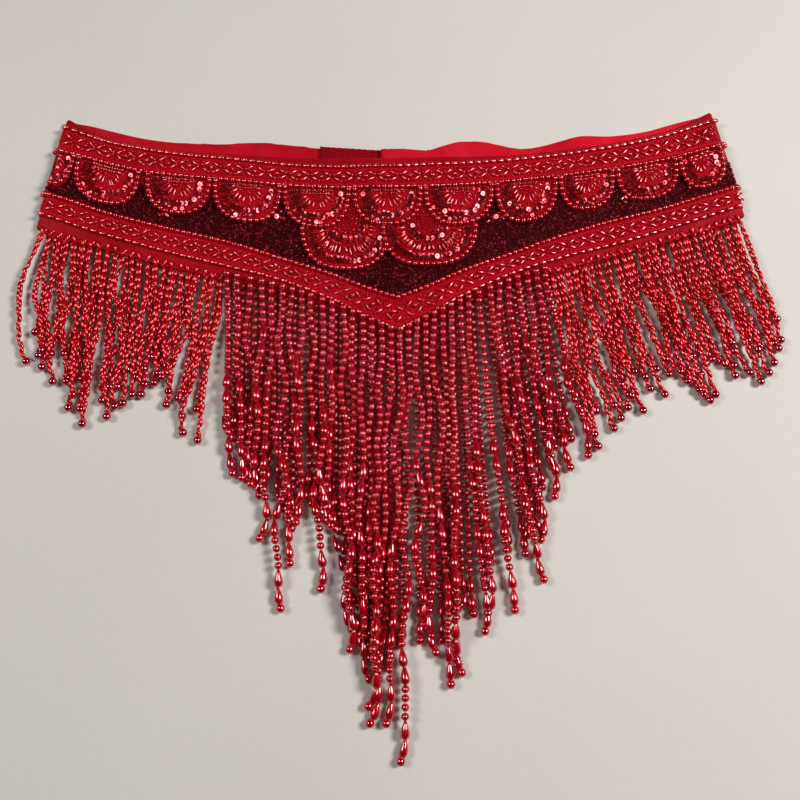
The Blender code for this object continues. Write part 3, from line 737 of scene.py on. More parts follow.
def bump(tree, shader, height, strength, distance):
    feed = {"Height": height, "Strength": strength, "Distance": distance}
    made = add(tree, "ShaderNodeBump", feed)
    tree.links.new(made.outputs[0], shader.inputs["Normal"])


def bead_finish(
    name, dark, light, roughness, metallic, coat, cloud=0.003, power=1.0, coat_roughness=0.1
):
    """A power over 1 makes most of the beads dark and only a few light."""
    made, tree, shader = new_finish(name, roughness, metallic, coat, 2.3, 0.5, coat_roughness)
    tint = add(tree, "ShaderNodeAttribute", attribute_name="tint").outputs["Fac"]
    clouds = calc(tree, "MULTIPLY", noise(tree, cloud), 0.5)
    clouded = calc(tree, "ADD", clouds, calc(tree, "MULTIPLY", tint, 0.6))
    if power != 1.0:
        clouded = calc(tree, "POWER", clouded, power)
    colour = mix_colours(tree, clouded, dark, light)
    tree.links.new(colour, shader.inputs["Base Color"])
    bump(tree, shader, noise(tree, 0.0006), 0.08, 0.0001)
    return made


# %% Pearl, glass and foil
crimson_pearl = bead_finish(
    "crimson_pearl", (0.50, 0.0005, 0.009), (0.68, 0.002, 0.020), 0.28, 0.46, 0.88
)
# Painted shade: the back layer's pearls are the front's pearls, painted darker.
under_pearl = bead_finish(
    "under_pearl", (0.34, 0.0004, 0.006), (0.48, 0.001, 0.012), 0.30, 0.40, 0.7
)
end_pearl = bead_finish("end_pearl", (0.36, 0.0005, 0.016), (0.48, 0.002, 0.034), 0.24, 0.50, 1.0)
ruby_bugle = bead_finish(
    "ruby_bugle", (0.50, 0.0005, 0.008), (0.76, 0.006, 0.024), 0.28, 0.60, 0.8, coat_roughness=0.18
)
rice_red = bead_finish(
    "rice_bead", (0.52, 0.001, 0.008), (0.78, 0.003, 0.018), 0.34, 0.55, 0.4, coat_roughness=0.20
)
garnet_seed = bead_finish(
    "garnet_seed", (0.03, 0.0002, 0.001), (0.80, 0.04, 0.07), 0.28, 0.6, 0.08, 0.004, 3.5
)
crimson_seed = bead_finish(
    "crimson_seed", (0.39, 0.001, 0.006), (0.58, 0.002, 0.015), 0.40, 0.20, 0.2
)
red_sequin = bead_finish("red_sequin", (0.40, 0.004, 0.012), (0.66, 0.06, 0.085), 0.26, 0.88, 0.1)
print("bead finishes:", len(bpy.data.materials))

# %% [markdown]
# ## Finishes: cloth, tape and thread
# Satin is floats of bright yarn: smooth along the belt and ribbed very finely across it. Two waves
# on the cloth's own UV map give the weave, a stretched noise gives slubs, and a wide noise makes
# the colour uneven. The fuzzy tape is matt, speckled and deeply bumped.

# %% Cloth finishes
def weave_bump(tree, period):
    """Height of a fine weave with this thread period in metres, from the cloth's UV map."""
    cloth = add(tree, "ShaderNodeUVMap", uv_map="weave")
    heights = []
    for direction in ("X", "Y"):
        heights.append(
            add(
                tree,
                "ShaderNodeTexWave",
                {"Vector": cloth, "Scale": 0.314 / period, "Distortion": 0.6, "Detail": 1.0},
                bands_direction=direction,
            ).outputs["Fac"]
        )
    return calc(tree, "ADD", calc(tree, "MULTIPLY", heights[0], 0.35), heights[1]), cloth


def set_sheen(shader, weight, roughness, tint):
    """The soft glow of loose fibres at a grazing angle."""
    shader.inputs["Sheen Weight"].default_value = weight
    shader.inputs["Sheen Roughness"].default_value = roughness
    shader.inputs["Sheen Tint"].default_value = tint


def cloth_finish(name, dark, light, roughness, sheen, period, strength, front=None):
    """front: the colours where the attribute of that name is 1, painted shade on the satin."""
    made, tree, shader = new_finish(name, roughness, specular=0.35)
    set_sheen(shader, sheen, 0.4, (1.0, 0.05, 0.08, 1.0))
    weave, cloth = weave_bump(tree, period)
    slubs = add(tree, "ShaderNodeMapping", {"Vector": cloth, "Scale": (60.0, 1400.0, 1.0)})
    feed = {"Vector": slubs, "Scale": 1.0, "Detail": 2.0}
    slub = add(tree, "ShaderNodeTexNoise", feed).outputs["Fac"]
    wide = noise(tree, 0.018, 3.0)
    mixed = calc(tree, "ADD", calc(tree, "MULTIPLY", wide, 0.7), calc(tree, "MULTIPLY", slub, 0.3))
    uneven = stretch(tree, mixed, 0.3, 0.7)
    colour = mix_colours(tree, uneven, dark, light)
    if front:
        face = add(tree, "ShaderNodeAttribute", attribute_name="front").outputs["Fac"]
        colour = mix_colours(tree, face, colour, mix_colours(tree, uneven, *front))
    tree.links.new(colour, shader.inputs["Base Color"])
    height = calc(tree, "ADD", weave, calc(tree, "MULTIPLY", slub, 0.8))
    bump(tree, shader, height, strength, 0.0002)
    return made


# %% Satin, felt and nets
# Painted shade: a darker satin for the front, and for part of the left back.
PAINTED_SHADE_SATIN = ((0.26, 0.001, 0.005), (0.44, 0.004, 0.014))
red_satin = cloth_finish(
    "red_satin", (0.44, 0.002, 0.010), (0.78, 0.012, 0.030), 0.36, 0.10, 0.0005, 0.25, PAINTED_SHADE_SATIN
)
tape_cloth = cloth_finish(
    "braid_net", (0.36, 0.001, 0.007), (0.52, 0.002, 0.014), 0.5, 0.0, 0.0009, 0.5
)
fan_felt = cloth_finish(
    "fan_felt", (0.34, 0.001, 0.006), (0.50, 0.002, 0.012), 0.7, 0.0, 0.0008, 0.5
)
GAP_CRIMSON = ((0.28, 0.001, 0.005), (0.42, 0.002, 0.010))
ground_net = cloth_finish(
    "ground_net", (0.010, 0.0, 0.001), (0.05, 0.0005, 0.004), 0.6, 0.0, 0.0010, 0.6, GAP_CRIMSON
)
print("finishes so far:", len(bpy.data.materials))

# %% Fuzzy tape and thread
def fuzzy_finish():
    made, tree, shader = new_finish("dark_red_tape", 0.95, specular=0.15)
    set_sheen(shader, 0.15, 0.5, (1.0, 0.10, 0.12, 1.0))
    fine = noise(tree, 0.0005, 3.0)
    speckle = stretch(tree, fine, 0.35, 0.65)
    colour = mix_colours(tree, speckle, (0.16, 0.001, 0.005), (0.36, 0.004, 0.014))
    tree.links.new(colour, shader.inputs["Base Color"])
    bump(tree, shader, fine, 0.9, 0.0006)
    return made


def thread_finish():
    made, tree, shader = new_finish("red_thread", 0.45, specular=0.4)
    colour = mix_colours(tree, noise(tree, 0.0008), (0.30, 0.002, 0.010), (0.62, 0.012, 0.035))
    tree.links.new(colour, shader.inputs["Base Color"])
    bump(tree, shader, noise(tree, 0.0003), 0.4, 0.0001)
    return made


dark_red_tape = fuzzy_finish()
red_thread = thread_finish()
print("finishes:", len(bpy.data.materials))

# %% [markdown]
# ## The satin band
# One long strip of satin over stiffening and lining makes the whole belt. It turns at each side and
# comes back underneath, and its two ends overlap at the centre back. The strip is drawn as sections
# from end to end, closer together than in the plain solid, with soft puckers where the back's edge
# shows. Its two long edges are rounded by thinning the strip over its last millimetre. A row of the
# tables is one section of a back: X and Y at its top and at its lower edge, and its height.

# %% Tables of the two backs
BACK_LEFT = np.array([
    (-222, 213.0, -236, 131.0, 0.0), (-205, 208.5, -213, 130.0, 0.0),
    (-180, 202.5, -182, 129.0, 0.0), (-150, 199.0, -150, 126.5, 0.0),
    (-120, 198.5, -120, 124.0, 0.0), (-100, 199.5, -100, 122.0, 0.0),
    (-78, 197.5, -78, 120.0, 0.0), (-50, 194.5, -50, 118.5, 0.0), (-20, 192.0, -20, 117.0, 0.0),
    (25, 190.0, 25, 117.0, 0.0),
])
BACK_RIGHT = np.array([
    (211, 218.0, 226, 138.5, 0.0), (195, 213.5, 203, 135.0, 0.0), (178, 208.5, 181, 131.5, 0.0),
    (152, 204.8, 152, 128.0, 0.0), (130, 204.8, 130, 126.0, 0.0), (115, 200.5, 115, 124.5, 0.0),
    (98, 195.8, 98, 122.5, 0.0), (85, 194.8, 85, 121.0, 0.0), (73, 197.7, 73, 120.0, 0.0),
    (60, 200.0, 60, 119.0, 0.2), (44, 198.9, 44, 118.0, 2.4), (30, 194.2, 30, 117.3, 4.2),
    (20, 191.2, 20, 117.0, 4.4), (4, 192.6, 4, 117.0, 4.4), (-12, 192.3, -12, 117.0, 4.4),
])
print("rows of the backs:", len(BACK_LEFT), len(BACK_RIGHT))

# %% Sections of the folds and the backs
FOLD_ANGLES = 10
EDGE = 1.2
BACK_STEP = 4.0
STRIP_SHARES = np.concatenate([[0, 0.004, 0.010], np.linspace(0.02, 0.98, 26), [0.990, 0.996, 1]])
strip_front = front_sections(GRID_S, STRIP_SHARES)


def fold_sections(side):
    """Sections round a fold, with their normals, from just past the front to the back."""
    line = strip_front[0] if side < 0 else strip_front[-1]
    out = fold_out(side)
    angles = np.linspace(0, math.pi, FOLD_ANGLES + 1)[1:]
    turns = [out * math.sin(a) + UP * math.cos(a) for a in angles]
    return np.array([line + (turn - UP) * FOLD_RADIUS for turn in turns]), np.array(turns)


def back_sections(rows, last):
    """Sections of a back from the fold's last one to its end, on smooth curves through its rows."""
    ends = np.array([[*last[0, :2], *last[-1, :2], 0.0], *rows])
    key = np.abs(ends[:, 0] - ends[0, 0])
    places = even_steps(0, key[-1], BACK_STEP)[1:]
    columns = [smooth(key, ends[:, c], places) for c in range(5)]
    top = np.stack([columns[0], columns[1]], axis=-1)
    low = np.stack([columns[2], columns[3]], axis=-1)
    flat = top[:, None] + (low - top)[:, None] * STRIP_SHARES[None, :, None]
    height = np.maximum(columns[4], 0.0)[:, None, None] + CLOTH / 2
    return np.concatenate([flat, np.broadcast_to(height, (*flat.shape[:2], 1))], axis=-1)


left_fold, left_turns = fold_sections(-1)
right_fold, right_turns = fold_sections(1)
left_back = back_sections(BACK_LEFT, left_fold[-1])
right_back = back_sections(BACK_RIGHT, right_fold[-1])
print("back sections:", len(left_back), len(right_back))

# %% Puckers
PUCKER_DEPTH = 9.0


def down_from_top(grid):
    """How far each point of a grid of sections lies from its section's top."""
    return np.linalg.norm((grid - grid[:, :1])[..., :2], axis=-1)


def puckers(grid, places, amount):
    """Soft upward puckers at the top edge of a back: (middle x, width) each, uneven in size."""
    x, t = grid[..., 0], down_from_top(grid)
    for count, (middle, width) in enumerate(places):
        lean = middle + (0.25 if count % 2 else -0.2) * t
        rise = amount * (0.6 + 0.4 * math.sin(count * 2.3))
        grid[..., 2] += rise * np.exp(-(((x - lean) / width) ** 2)) * np.exp(-t / PUCKER_DEPTH)


LEFT_PUCKERS = [
    (-150, 5), (-138, 4), (-125, 4), (-116, 3), (-109, 4.5), (-99, 3), (-92, 4), (-83, 3),
    (-77, 4), (-68, 3),
]
RIGHT_PUCKERS = [(33, 3), (41, 4), (49, 3), (57, 4), (64, 3), (72, 4.5), (83, 3), (91, 4), (100, 3)]
puckers(left_back, LEFT_PUCKERS, 1.3)
puckers(right_back, RIGHT_PUCKERS, 1.1)
print("puckers:", len(LEFT_PUCKERS), len(RIGHT_PUCKERS))

# %% The gathered margin under the lower braid
MARGIN_RIPPLE = 0.38
front_normals = grid_normals(strip_front)
t_down = STRIP_SHARES[None, :] * LENGTHS[:, None]
margin = np.clip((t_down - front_column("row_d", GRID_S)[:, None]) / 4, 0, 1)
wave = np.sin(GRID_S * 0.55 + 3 * np.sin(GRID_S * 0.13)) + 0.6 * np.sin(GRID_S * 0.9 + 2.0)
strip_front[..., 2] += MARGIN_RIPPLE * margin * wave[:, None]
print("ripple of the margin:", round(float(np.abs(wave).max() * MARGIN_RIPPLE), 2), "mm")

# %% The band as one closed strip
THINNEST = 0.12
MEASURED = 8
# Share of the front's painted shade that the left back gets.
LEFT_BACK_PAINTED_SHADE = 0.4


def spread_normals(turns):
    return np.repeat(turns[:, None], len(STRIP_SHARES), axis=1)


strip = np.concatenate([left_back[::-1], left_fold[::-1], strip_front, right_fold, right_back])
strip_normals = np.concatenate([
    -grid_normals(left_back)[::-1],
    spread_normals(left_turns)[::-1],
    front_normals,
    spread_normals(right_turns),
    -grid_normals(right_back),
])
strip_t = down_from_top(strip)
from_edge = np.minimum(strip_t, strip_t[:, -1:] - strip_t)
roundness = 1 - (1 - np.clip(from_edge / EDGE, THINNEST, 1)) ** 2
outwards = strip_normals * (CLOTH / 2 * np.sqrt(np.clip(roundness, 0, 1)))[..., None]
steps_along = np.linalg.norm(np.diff(strip[:, MEASURED], axis=0), axis=1)
along_strip = np.concatenate([[0], np.cumsum(steps_along)])
strip_uv = np.stack([np.broadcast_to(along_strip[:, None], strip_t.shape), strip_t], axis=-1)
# Painted shade by section: all the front, part of the left back, none of the right back.
painted_shade_share = np.concatenate([
    np.full(len(left_back), LEFT_BACK_PAINTED_SHADE), np.linspace(LEFT_BACK_PAINTED_SHADE, 1, len(left_fold)),
    np.ones(len(strip_front)), np.linspace(1, 0, len(right_fold)), np.zeros(len(right_back)),
])
belt_cloth = sheet_between("belt_cloth", strip + outwards, strip - outwards, red_satin, strip_uv)
mark_points(belt_cloth.data, "front", np.tile(np.repeat(painted_shade_share, len(STRIP_SHARES)), 2))
print("belt cloth:", triangles(belt_cloth), "triangles,", round(along_strip[-1]), "mm long")

# %% [markdown]
# ## The fastening tapes
# At the centre back a hook tape under the right end grips a loop tape on the left end. Both are
# plain woven strips with a fuzzy face. A thin closed slab makes each. Its finish is rough and deeply
# bumped, so it looks fuzzy where it peeps out above the front, and its top edge is slightly ragged.

# %% Tapes
TAPE_THICK = 1.0
TAPE_DEPTH = 25.0
TAPE_PROUD = 1.2
TAPE_DOWN = np.array([0.0, 0.4, 1.0, 4.0, 9.0, 14.0, 19.0, 24.0, TAPE_DEPTH])
TAPE_HALVES = np.array([0.25] + [TAPE_THICK / 2] * (len(TAPE_DOWN) - 1))[:, None]
SEAM = 0.3


def along_x(x, y):
    """A flat grid of X and Y from one X for each row and a grid of Y."""
    return np.stack([np.broadcast_to(x[:, None], y.shape), y], axis=-1)


def at_height(flat, height):
    return np.concatenate([flat, np.broadcast_to(height, (*flat.shape[:2], 1))], axis=-1)


def tape(name, rows, first, last, low):
    """A tape along a back's top edge, from height low upwards, with a ragged edge at its top."""
    order = np.argsort(rows[:, 0])
    x = even_steps(first, last, 2.0)
    top = np.interp(x, rows[order, 0], rows[order, 1]) + TAPE_PROUD
    flat = along_x(x, top[:, None] - TAPE_DOWN[None])
    flat[:, 0, 1] += 0.25 * np.sin(x * 3.1) + 0.2 * np.sin(x * 7.7 + 1)
    middle = low + TAPE_THICK / 2
    outer, inner = at_height(flat, middle + TAPE_HALVES), at_height(flat, middle - TAPE_HALVES)
    return sheet_between(name, outer, inner, dark_red_tape, flat)


loop_tape = tape("loop_tape", BACK_LEFT, -55.5, 22.0, CLOTH + SEAM)
hook_tape = tape("hook_tape", BACK_RIGHT, -11.0, 22.0, CLOTH + 2 * SEAM + TAPE_THICK)
print("tapes:", triangles(loop_tape), triangles(hook_tape))

# %% [markdown]
# ## The dark ground
# Between the two braids the satin is covered by a net packed with garnet seed beads. The net is one
# thin closed sheet, and the seeds are scattered over its upper face.

# %% Places of the fans
TRIM_REACH = FOLD_RADIUS * math.radians(80)
PAST_THE_END = TRIM_REACH * np.array([0.33, 0.67, 1])
TRIM_S = np.concatenate([S_LEFT - PAST_THE_END[::-1], GRID_S, S_RIGHT + PAST_THE_END])
FANS = np.array([
    (-204.7, 23.2, 28.9, 0), (-153.9, 23.2, 28.1, 0), (-105.0, 23.9, 29.4, 0),
    (-56.3, 23.5, 29.4, 0), (-7.0, 24.0, 27.2, 0), (42.4, 24.0, 28.4, 0), (89.6, 21.8, 31.1, 0),
    (132.3, 19.6, 27.6, 0), (175.5, 22.2, 26.4, 0), (214.8, 16.0, 27.4, 0),
    (-35.8, 31.5, 36.6, 48.6), (21.8, 33.2, 32.6, 49.8), (-240.0, 11.0, 26.0, 0),
])
SMALL_FANS, LOW_FANS = FANS[FANS[:, 3] == 0], FANS[FANS[:, 3] > 0]
print("fans:", len(SMALL_FANS), "small and", len(LOW_FANS), "low")

# %% Inside and outside the fans
FAN_ROW = 2.6
FULLNESS = 0.75


def fan_top(fan):
    return fan[3] if fan[3] else float(front_column("row_b", fan[0])) + FAN_ROW


def fan_marks(fan, angles, shares):
    """Marks at angles round a fan and shares of its radius. A fan is fuller than an ellipse."""
    cos, sin = np.cos(angles), np.sin(angles)
    s = fan[0] + np.sign(cos) * np.abs(cos) ** FULLNESS * fan[1] * shares
    tops = float(fan[3]) if fan[3] else front_column("row_b", s) + FAN_ROW
    return s, tops + np.maximum(sin, 0) ** FULLNESS * fan[2] * shares


def inside_fan(fan, s, t, size=0.95):
    """Whether pattern coordinates lie inside a fan's outline, drawn at this share of its size."""
    across = np.abs(s - fan[0]) / fan[1] / size
    down = np.maximum(t - fan_top(fan), 0) / fan[2] / size
    return across ** (2 / FULLNESS) + down ** (2 / FULLNESS) < 1


def inside_any(fans, s, t, size=0.95):
    return np.any([inside_fan(fan, s, t, size) for fan in fans], axis=0)


def between_fans(s, t):
    """The upper part of the narrow gaps between fans, which is beaded in crimson like the fans."""
    return t < front_column("row_b", s) + 11.5 + 1.5 * np.sin(s * 0.6)


def hidden_by_others(fan, s, t):
    """A low fan lies under the small ones, and its left half under the right one."""
    if not fan[3]:
        return np.zeros(np.shape(s), bool)
    over = np.concatenate([SMALL_FANS, LOW_FANS[1:]]) if fan[0] < 0 else SMALL_FANS
    return inside_any(over, s, t, 1.04)


# %% The net of the ground
GROUND_LOW = 0.4
GROUND_HIGH = 0.9


def strip_marks(s, from_t, to_t, columns):
    """A grid of pattern coordinates between two lines along the belt."""
    shares = np.linspace(0, 1, columns)
    return along_x(s, from_t[:, None] * (1 - shares) + to_t[:, None] * shares)


def flat_sheet(name, marks, low, high, finish):
    """A closed sheet that lies on the front between two heights over its cloth."""
    s, t = marks[..., 0], marks[..., 1]
    return sheet_between(name, on_front(s, t, high)[0], on_front(s, t, low)[0], finish, marks)


ground_top = front_column("row_b", TRIM_S) + 2.3
ground_low = front_column("row_c", TRIM_S) - 2.3
net = strip_marks(TRIM_S, ground_top, ground_low, 15)
seed_ground = flat_sheet("seed_ground", net, GROUND_LOW, GROUND_HIGH, ground_net)
mark_points(seed_ground.data, "front", np.tile(between_fans(net[..., 0], net[..., 1]).ravel(), 2))
print("net:", triangles(seed_ground), "triangles")

# %% The seeds of the ground
bed = strip_marks(TRIM_S, ground_top + 0.5, ground_low - 0.5, 40)
bed_s, bed_t = bed[..., 0], bed[..., 1]
bed_points = on_front(bed_s, bed_t, GROUND_HIGH + 0.35)[0]
bed_mesh = bpy.data.meshes.new("bed")
index = np.arange(bed_s.size).reshape(bed_s.shape)
corners = [index[:-1, :-1], index[:-1, 1:], index[1:, 1:], index[1:, :-1]]
quads = np.stack(corners, axis=-1).reshape(-1, 4)
bed_mesh.from_pydata(to_metres(bed_points.reshape(-1, 3)).tolist(), [], quads.tolist())
mark_points(bed_mesh, "open", ~inside_any(FANS, bed_s, bed_t) & ~between_fans(bed_s, bed_t))
ground_seeds = harvest(
    "ground_seeds",
    new_object("bed", bed_mesh),
    SCATTERED_SEEDS,
    Bead=seed_bead,
    Finish=garnet_seed,
    Seed=4,
    Spacing=1.42 * MM,
    Width=1.75 * MM,
    Length=1.35 * MM,
    Unevenness=0.15,
)

# %% [markdown]
# ## The two braids
# A braid runs above the dark ground and another below it. Each has a row of oval beads on its outer
# side, a row of pearls on its inner side, and between them a lattice of crossed bugles with a pearl
# in every diamond. Small seeds fill what is left. The pearls follow a thread, so the row tree makes
# them. The rest is sewn bead by bead, so its places are worked out here, along s and across t.

# %% Tapes and pearl rows of the braids
PEARL = 4.0
PEARL_PITCH = 4.1
PEARL_OUT = 1.95
BRAID_MARGIN = 1.2
BRAID_LOW, BRAID_HIGH = 0.15, 0.9
BRAID_ROWS = {"braid_upper": ("row_a", "row_b"), "braid_lower": ("row_d", "row_c")}


def front_line(s, t, out):
    return on_front(s, t, out)[0]


def string_pearls(name, lines, seed):
    """Pearls strung along lines of points."""
    return harvest(
        name,
        path_source("path", lines),
        BEADS_IN_A_ROW,
        Bead=pearl_bead,
        Finish=crimson_pearl,
        Seed=seed,
        Pitch=PEARL_PITCH * MM,
        Width=PEARL * MM,
        Length=PEARL * MM,
        Unevenness=0.03,
    )


braid_pieces = {}
for braid, (oval_row, pearl_row) in BRAID_ROWS.items():
    ovals_t, pearls_t = front_column(oval_row, TRIM_S), front_column(pearl_row, TRIM_S)
    margin = BRAID_MARGIN * np.sign(pearls_t - ovals_t)
    marks = strip_marks(TRIM_S, ovals_t - margin, pearls_t + margin, 7)
    base = flat_sheet(braid + "_tape", marks, BRAID_LOW, BRAID_HIGH, tape_cloth)
    pearls = string_pearls(braid + "_pearls", [front_line(TRIM_S, pearls_t, PEARL_OUT)], 2)
    braid_pieces[braid] = [base, pearls]

# %% [markdown]
# ## Sewing beads so that they glint
# A long shiny bead shows a bright streak only when its side faces halfway between the eye and a
# lamp. On the real belt some beads lie so and some don't. So the sewing helper can lean a long bead,
# up or down along its thread, towards the nearer of two such directions, each by a random share.

# %% Sewing helper
LAMP = (1050.0, 200.0, 1200.0)
EYE = (0.0, -128.0, 588.0)


def glint_way(here, side):
    """The way a small mirror faces to show the left lamp, for a side of -1, or the right, for 1."""
    same = side * 0
    lamp_at = np.concatenate([side * LAMP[0], same + LAMP[1], same + LAMP[2]], axis=-1)
    return unit(unit(lamp_at - here) + unit(np.array(EYE) - here))


def sew(name, bead, finish, seed, marks, out, aim, size, lean=0.0):
    """Beads sewn at (s, t) marks, each with an aim (ds, dt) and a size (width, height, length)."""
    s, t = marks.T
    here, normal = on_front(s, t, out)
    there = on_front(s + aim[..., 0] * 0.2, t + aim[..., 1] * 0.2, out)[0]
    way = unit(there - here)
    if lean:
        ones = np.ones((len(here), 1))
        faces = [glint_way(here, ones * side) for side in (-1, 1)]
        slopes = [(way * face).sum(-1, keepdims=True) for face in faces]
        nearer = np.abs(slopes[0]) < np.abs(slopes[1])
        shares = np.random.default_rng(seed).uniform(0.6, 1.1, nearer.shape) * lean
        way = unit(way - shares * np.where(nearer, slopes[0] * faces[0], slopes[1] * faces[1]))
    source = sewn_source("cloud", here, way, normal, size)
    return harvest(name, source, SEWN_BEADS, Bead=bead, Finish=finish, Seed=seed)


# %% Measuring helpers
def running_length(x, y):
    return np.concatenate([[0], np.cumsum(np.hypot(np.diff(x), np.diff(y)))])


def distance_to_points(points, others):
    """Distance of each point from the nearest of the others, in pattern coordinates."""
    return np.linalg.norm(points[:, None] - others[None], axis=-1).min(axis=1)


def distance_to_segments(points, starts, ends):
    """Distance of each point from the nearest segment, in pattern coordinates."""
    span = ends - starts
    from_start = points[:, None] - starts[None]
    share = np.clip((from_start * span).sum(-1) / (span**2).sum(-1), 0, 1)
    return np.linalg.norm(from_start - share[..., None] * span, axis=-1).min(axis=1)


def random_aims(draw, count):
    angles = [draw.uniform(0, TURN) for _ in range(count)]
    return np.array([(math.cos(a), math.sin(a)) for a in angles])


# %% Oval rows of the braids
OVAL_PITCH = 5.5
OVAL_OUT = 1.6
OVAL_SIZE = (2.8, 2.8, 5.2)

for braid, (oval_row, _) in BRAID_ROWS.items():
    row_t = front_column(oval_row, TRIM_S)
    along = running_length(TRIM_S, row_t)
    places = np.arange(OVAL_PITCH / 2, along[-1], OVAL_PITCH)
    s = np.interp(places, along, TRIM_S)
    slopes = np.interp(s, TRIM_S, np.gradient(row_t, TRIM_S))
    marks = np.stack([s, np.interp(places, along, row_t)], axis=-1)
    aims = np.stack([np.ones_like(s), slopes], axis=-1)
    ovals = sew(braid + "_ovals", oval_bead, ruby_bugle, 1, marks, OVAL_OUT, aims, OVAL_SIZE, 1.0)
    braid_pieces[braid].append(ovals)

# %% Places for the beads of the lattice
BUGLE_WIDTH = 1.9
ARM_FROM, ARM_TO = 0.10, 0.88
OVAL_ROOM, PEARL_ROOM = 2.9, 3.4
SEED_WIDTH = 1.9
LATTICES = {"braid_upper": (15.6, 6.8, -233.0), "braid_lower": (14.0, 6.2, -233.5)}


def lattice_arms(oval_row, pearl_row, crossings, pitch):
    """Inner and outer end of each bugle, four to a crossing."""
    arms = []
    for crossing in crossings:
        from_t, to_t = (float(front_column(row, crossing)) for row in (oval_row, pearl_row))
        half_width = abs(to_t - from_t) / 2 - PEARL_ROOM
        centre = np.array((crossing, (from_t * 1.04 + to_t * 0.96) / 2))
        ahead, behind = (float(front_column(oval_row, crossing + step)) for step in (3, -3))
        tilt = (ahead - behind) / 6
        for side_s in (-1, 1):
            for side_t in (-1, 1):
                arm = np.array((side_s * pitch / 2, side_t * half_width + side_s * pitch / 2 * tilt))
                arms.append((centre + arm * ARM_FROM, centre + arm * ARM_TO))
    return np.array(arms)


def diamond_hearts(oval_row, pearl_row, crossings, pitch):
    s = crossings + pitch / 2
    s = s[s < S_RIGHT]
    return np.stack([s, (front_column(oval_row, s) + front_column(pearl_row, s)) / 2], axis=-1)


def filling_spots(oval_row, pearl_row, draw):
    """A staggered grid of places between the two rows, each a little off its node."""
    spots = []
    for i, s in enumerate(np.arange(S_LEFT - 1, S_RIGHT + 1, SEED_WIDTH)):
        ovals_t, pearls_t = float(front_column(oval_row, s)), float(front_column(pearl_row, s))
        edges = sorted([(ovals_t, OVAL_ROOM), (pearls_t, PEARL_ROOM)])
        (low_t, low_room), (high_t, high_room) = edges
        low_t, high_t = low_t + low_room, high_t - high_room
        count = max(2, round((high_t - low_t) / SEED_WIDTH))
        for k in range(count):
            t = low_t + (high_t - low_t) * (k + (0.5 if i % 2 else 0.2)) / count
            spots.append((s + draw.uniform(-0.25, 0.25), t + draw.uniform(-0.25, 0.25)))
    return np.array(spots)


# %% Lattice of bugles
LATTICE_OUT, HEART_OUT, SEED_OUT = 1.85, 1.9, 1.2
HEART_SIZE = (3.4, 3.4, 3.4)
SEED_SIZE = (2.0, 2.0, 1.5)
ALONG_THE_BELT = np.array((1.0, 0.0))

for braid, (pitch, arm_length, first) in LATTICES.items():
    rows = BRAID_ROWS[braid]
    crossings = np.arange(first, S_RIGHT + 1, pitch)
    arms, hearts = lattice_arms(*rows, crossings, pitch), diamond_hearts(*rows, crossings, pitch)
    middles, ways = arms.mean(axis=1), arms[:, 1] - arms[:, 0]
    widths = np.full(len(arms), BUGLE_WIDTH)
    bugle_lengths = np.minimum(np.linalg.norm(ways, axis=1), arm_length)
    sizes = np.stack([widths, widths, bugle_lengths], axis=-1)
    draw = random.Random(7)
    spots = filling_spots(*rows, draw)
    clear = distance_to_segments(spots, arms[:, 0], arms[:, 1]) > 1.6
    spots = spots[clear & (distance_to_points(spots, hearts) > 2.5)]
    aims = random_aims(draw, len(spots))
    lattice = (middles, LATTICE_OUT, ways, sizes, 1.0)
    in_diamonds = (hearts, HEART_OUT, ALONG_THE_BELT, HEART_SIZE)
    braid_pieces[braid] += [
        sew(braid + "_bugles", bugle_bead, ruby_bugle, 3, *lattice),
        sew(braid + "_hearts", pearl_bead, crimson_pearl, 5, *in_diamonds),
        sew(braid + "_seeds", seed_bead, crimson_seed, 6, spots, SEED_OUT, aims, SEED_SIZE),
    ]

# %% [markdown]
# ## The fan appliques
# Ten small fans and a half one hang in a row under the upper braid, and two larger ones hang below
# them at the centre. On the real belt each is worked on felt: a rim of pearls, a crescent of cup
# sequins that overlap like scales, and a half disc of bugles that point at its middle. All fans
# follow one rule, so a few loops place their beads, in angles and shares of each fan's radius.

# %% Felt pads of the small fans
FAN_BASE = 1.8
PAD_SECTORS = 24
PAD_SHARE = 0.97
PAD_BOTTOM = -0.3
PAD_RINGS = (
    (0.0, 0.9), (0.35, 0.9), (0.6, 0.8), (0.85, 0.6), (PAD_SHARE, 0.35),
    (PAD_SHARE, PAD_BOTTOM), (0.5, PAD_BOTTOM),
)


def fan_turn(fan):
    """A whole fan opens from 180 to 0 degrees, and the half fan at the left fold from 90 to 0."""
    return (math.pi / 2, 0.0) if fan[0] < -230 else (math.pi, 0.0)


def pad_points(fan, angles, share, height):
    return to_metres(on_front(*fan_marks(fan, angles, share), FAN_BASE + height)[0])


pad_mesh = bmesh.new()
for fan in SMALL_FANS:
    angles = np.linspace(*fan_turn(fan), PAD_SECTORS + 1)
    rings = []
    for share, height in (*PAD_RINGS, (0.0, PAD_BOTTOM)):
        points = pad_points(fan, angles, share, height)
        if share == 0.0:
            rings.append([pad_mesh.verts.new(points[0])] * len(points))
        else:
            rings.append([pad_mesh.verts.new(p) for p in points])
    for near, far in zip(rings, rings[1:]):
        for i in range(PAD_SECTORS):
            corners = list(dict.fromkeys([near[i], near[i + 1], far[i + 1], far[i]]))
            pad_mesh.faces.new(corners)
    for i in (0, PAD_SECTORS):
        pad_mesh.faces.new([ring[i] for ring in rings])
bmesh.ops.recalc_face_normals(pad_mesh, faces=pad_mesh.faces)
pads = bpy.data.meshes.new("fan_pads")
pad_mesh.to_mesh(pads)
pad_mesh.free()
pads.shade_smooth()
pads.materials.append(fan_felt)
fan_pads = new_object("fan_pads", pads)
print("pads of the small fans:", triangles(fan_pads), "triangles")

# %% Felt pad of the two low fans
LOW_BASE = 1.45
LOW_PAD_UNDER = 0.93


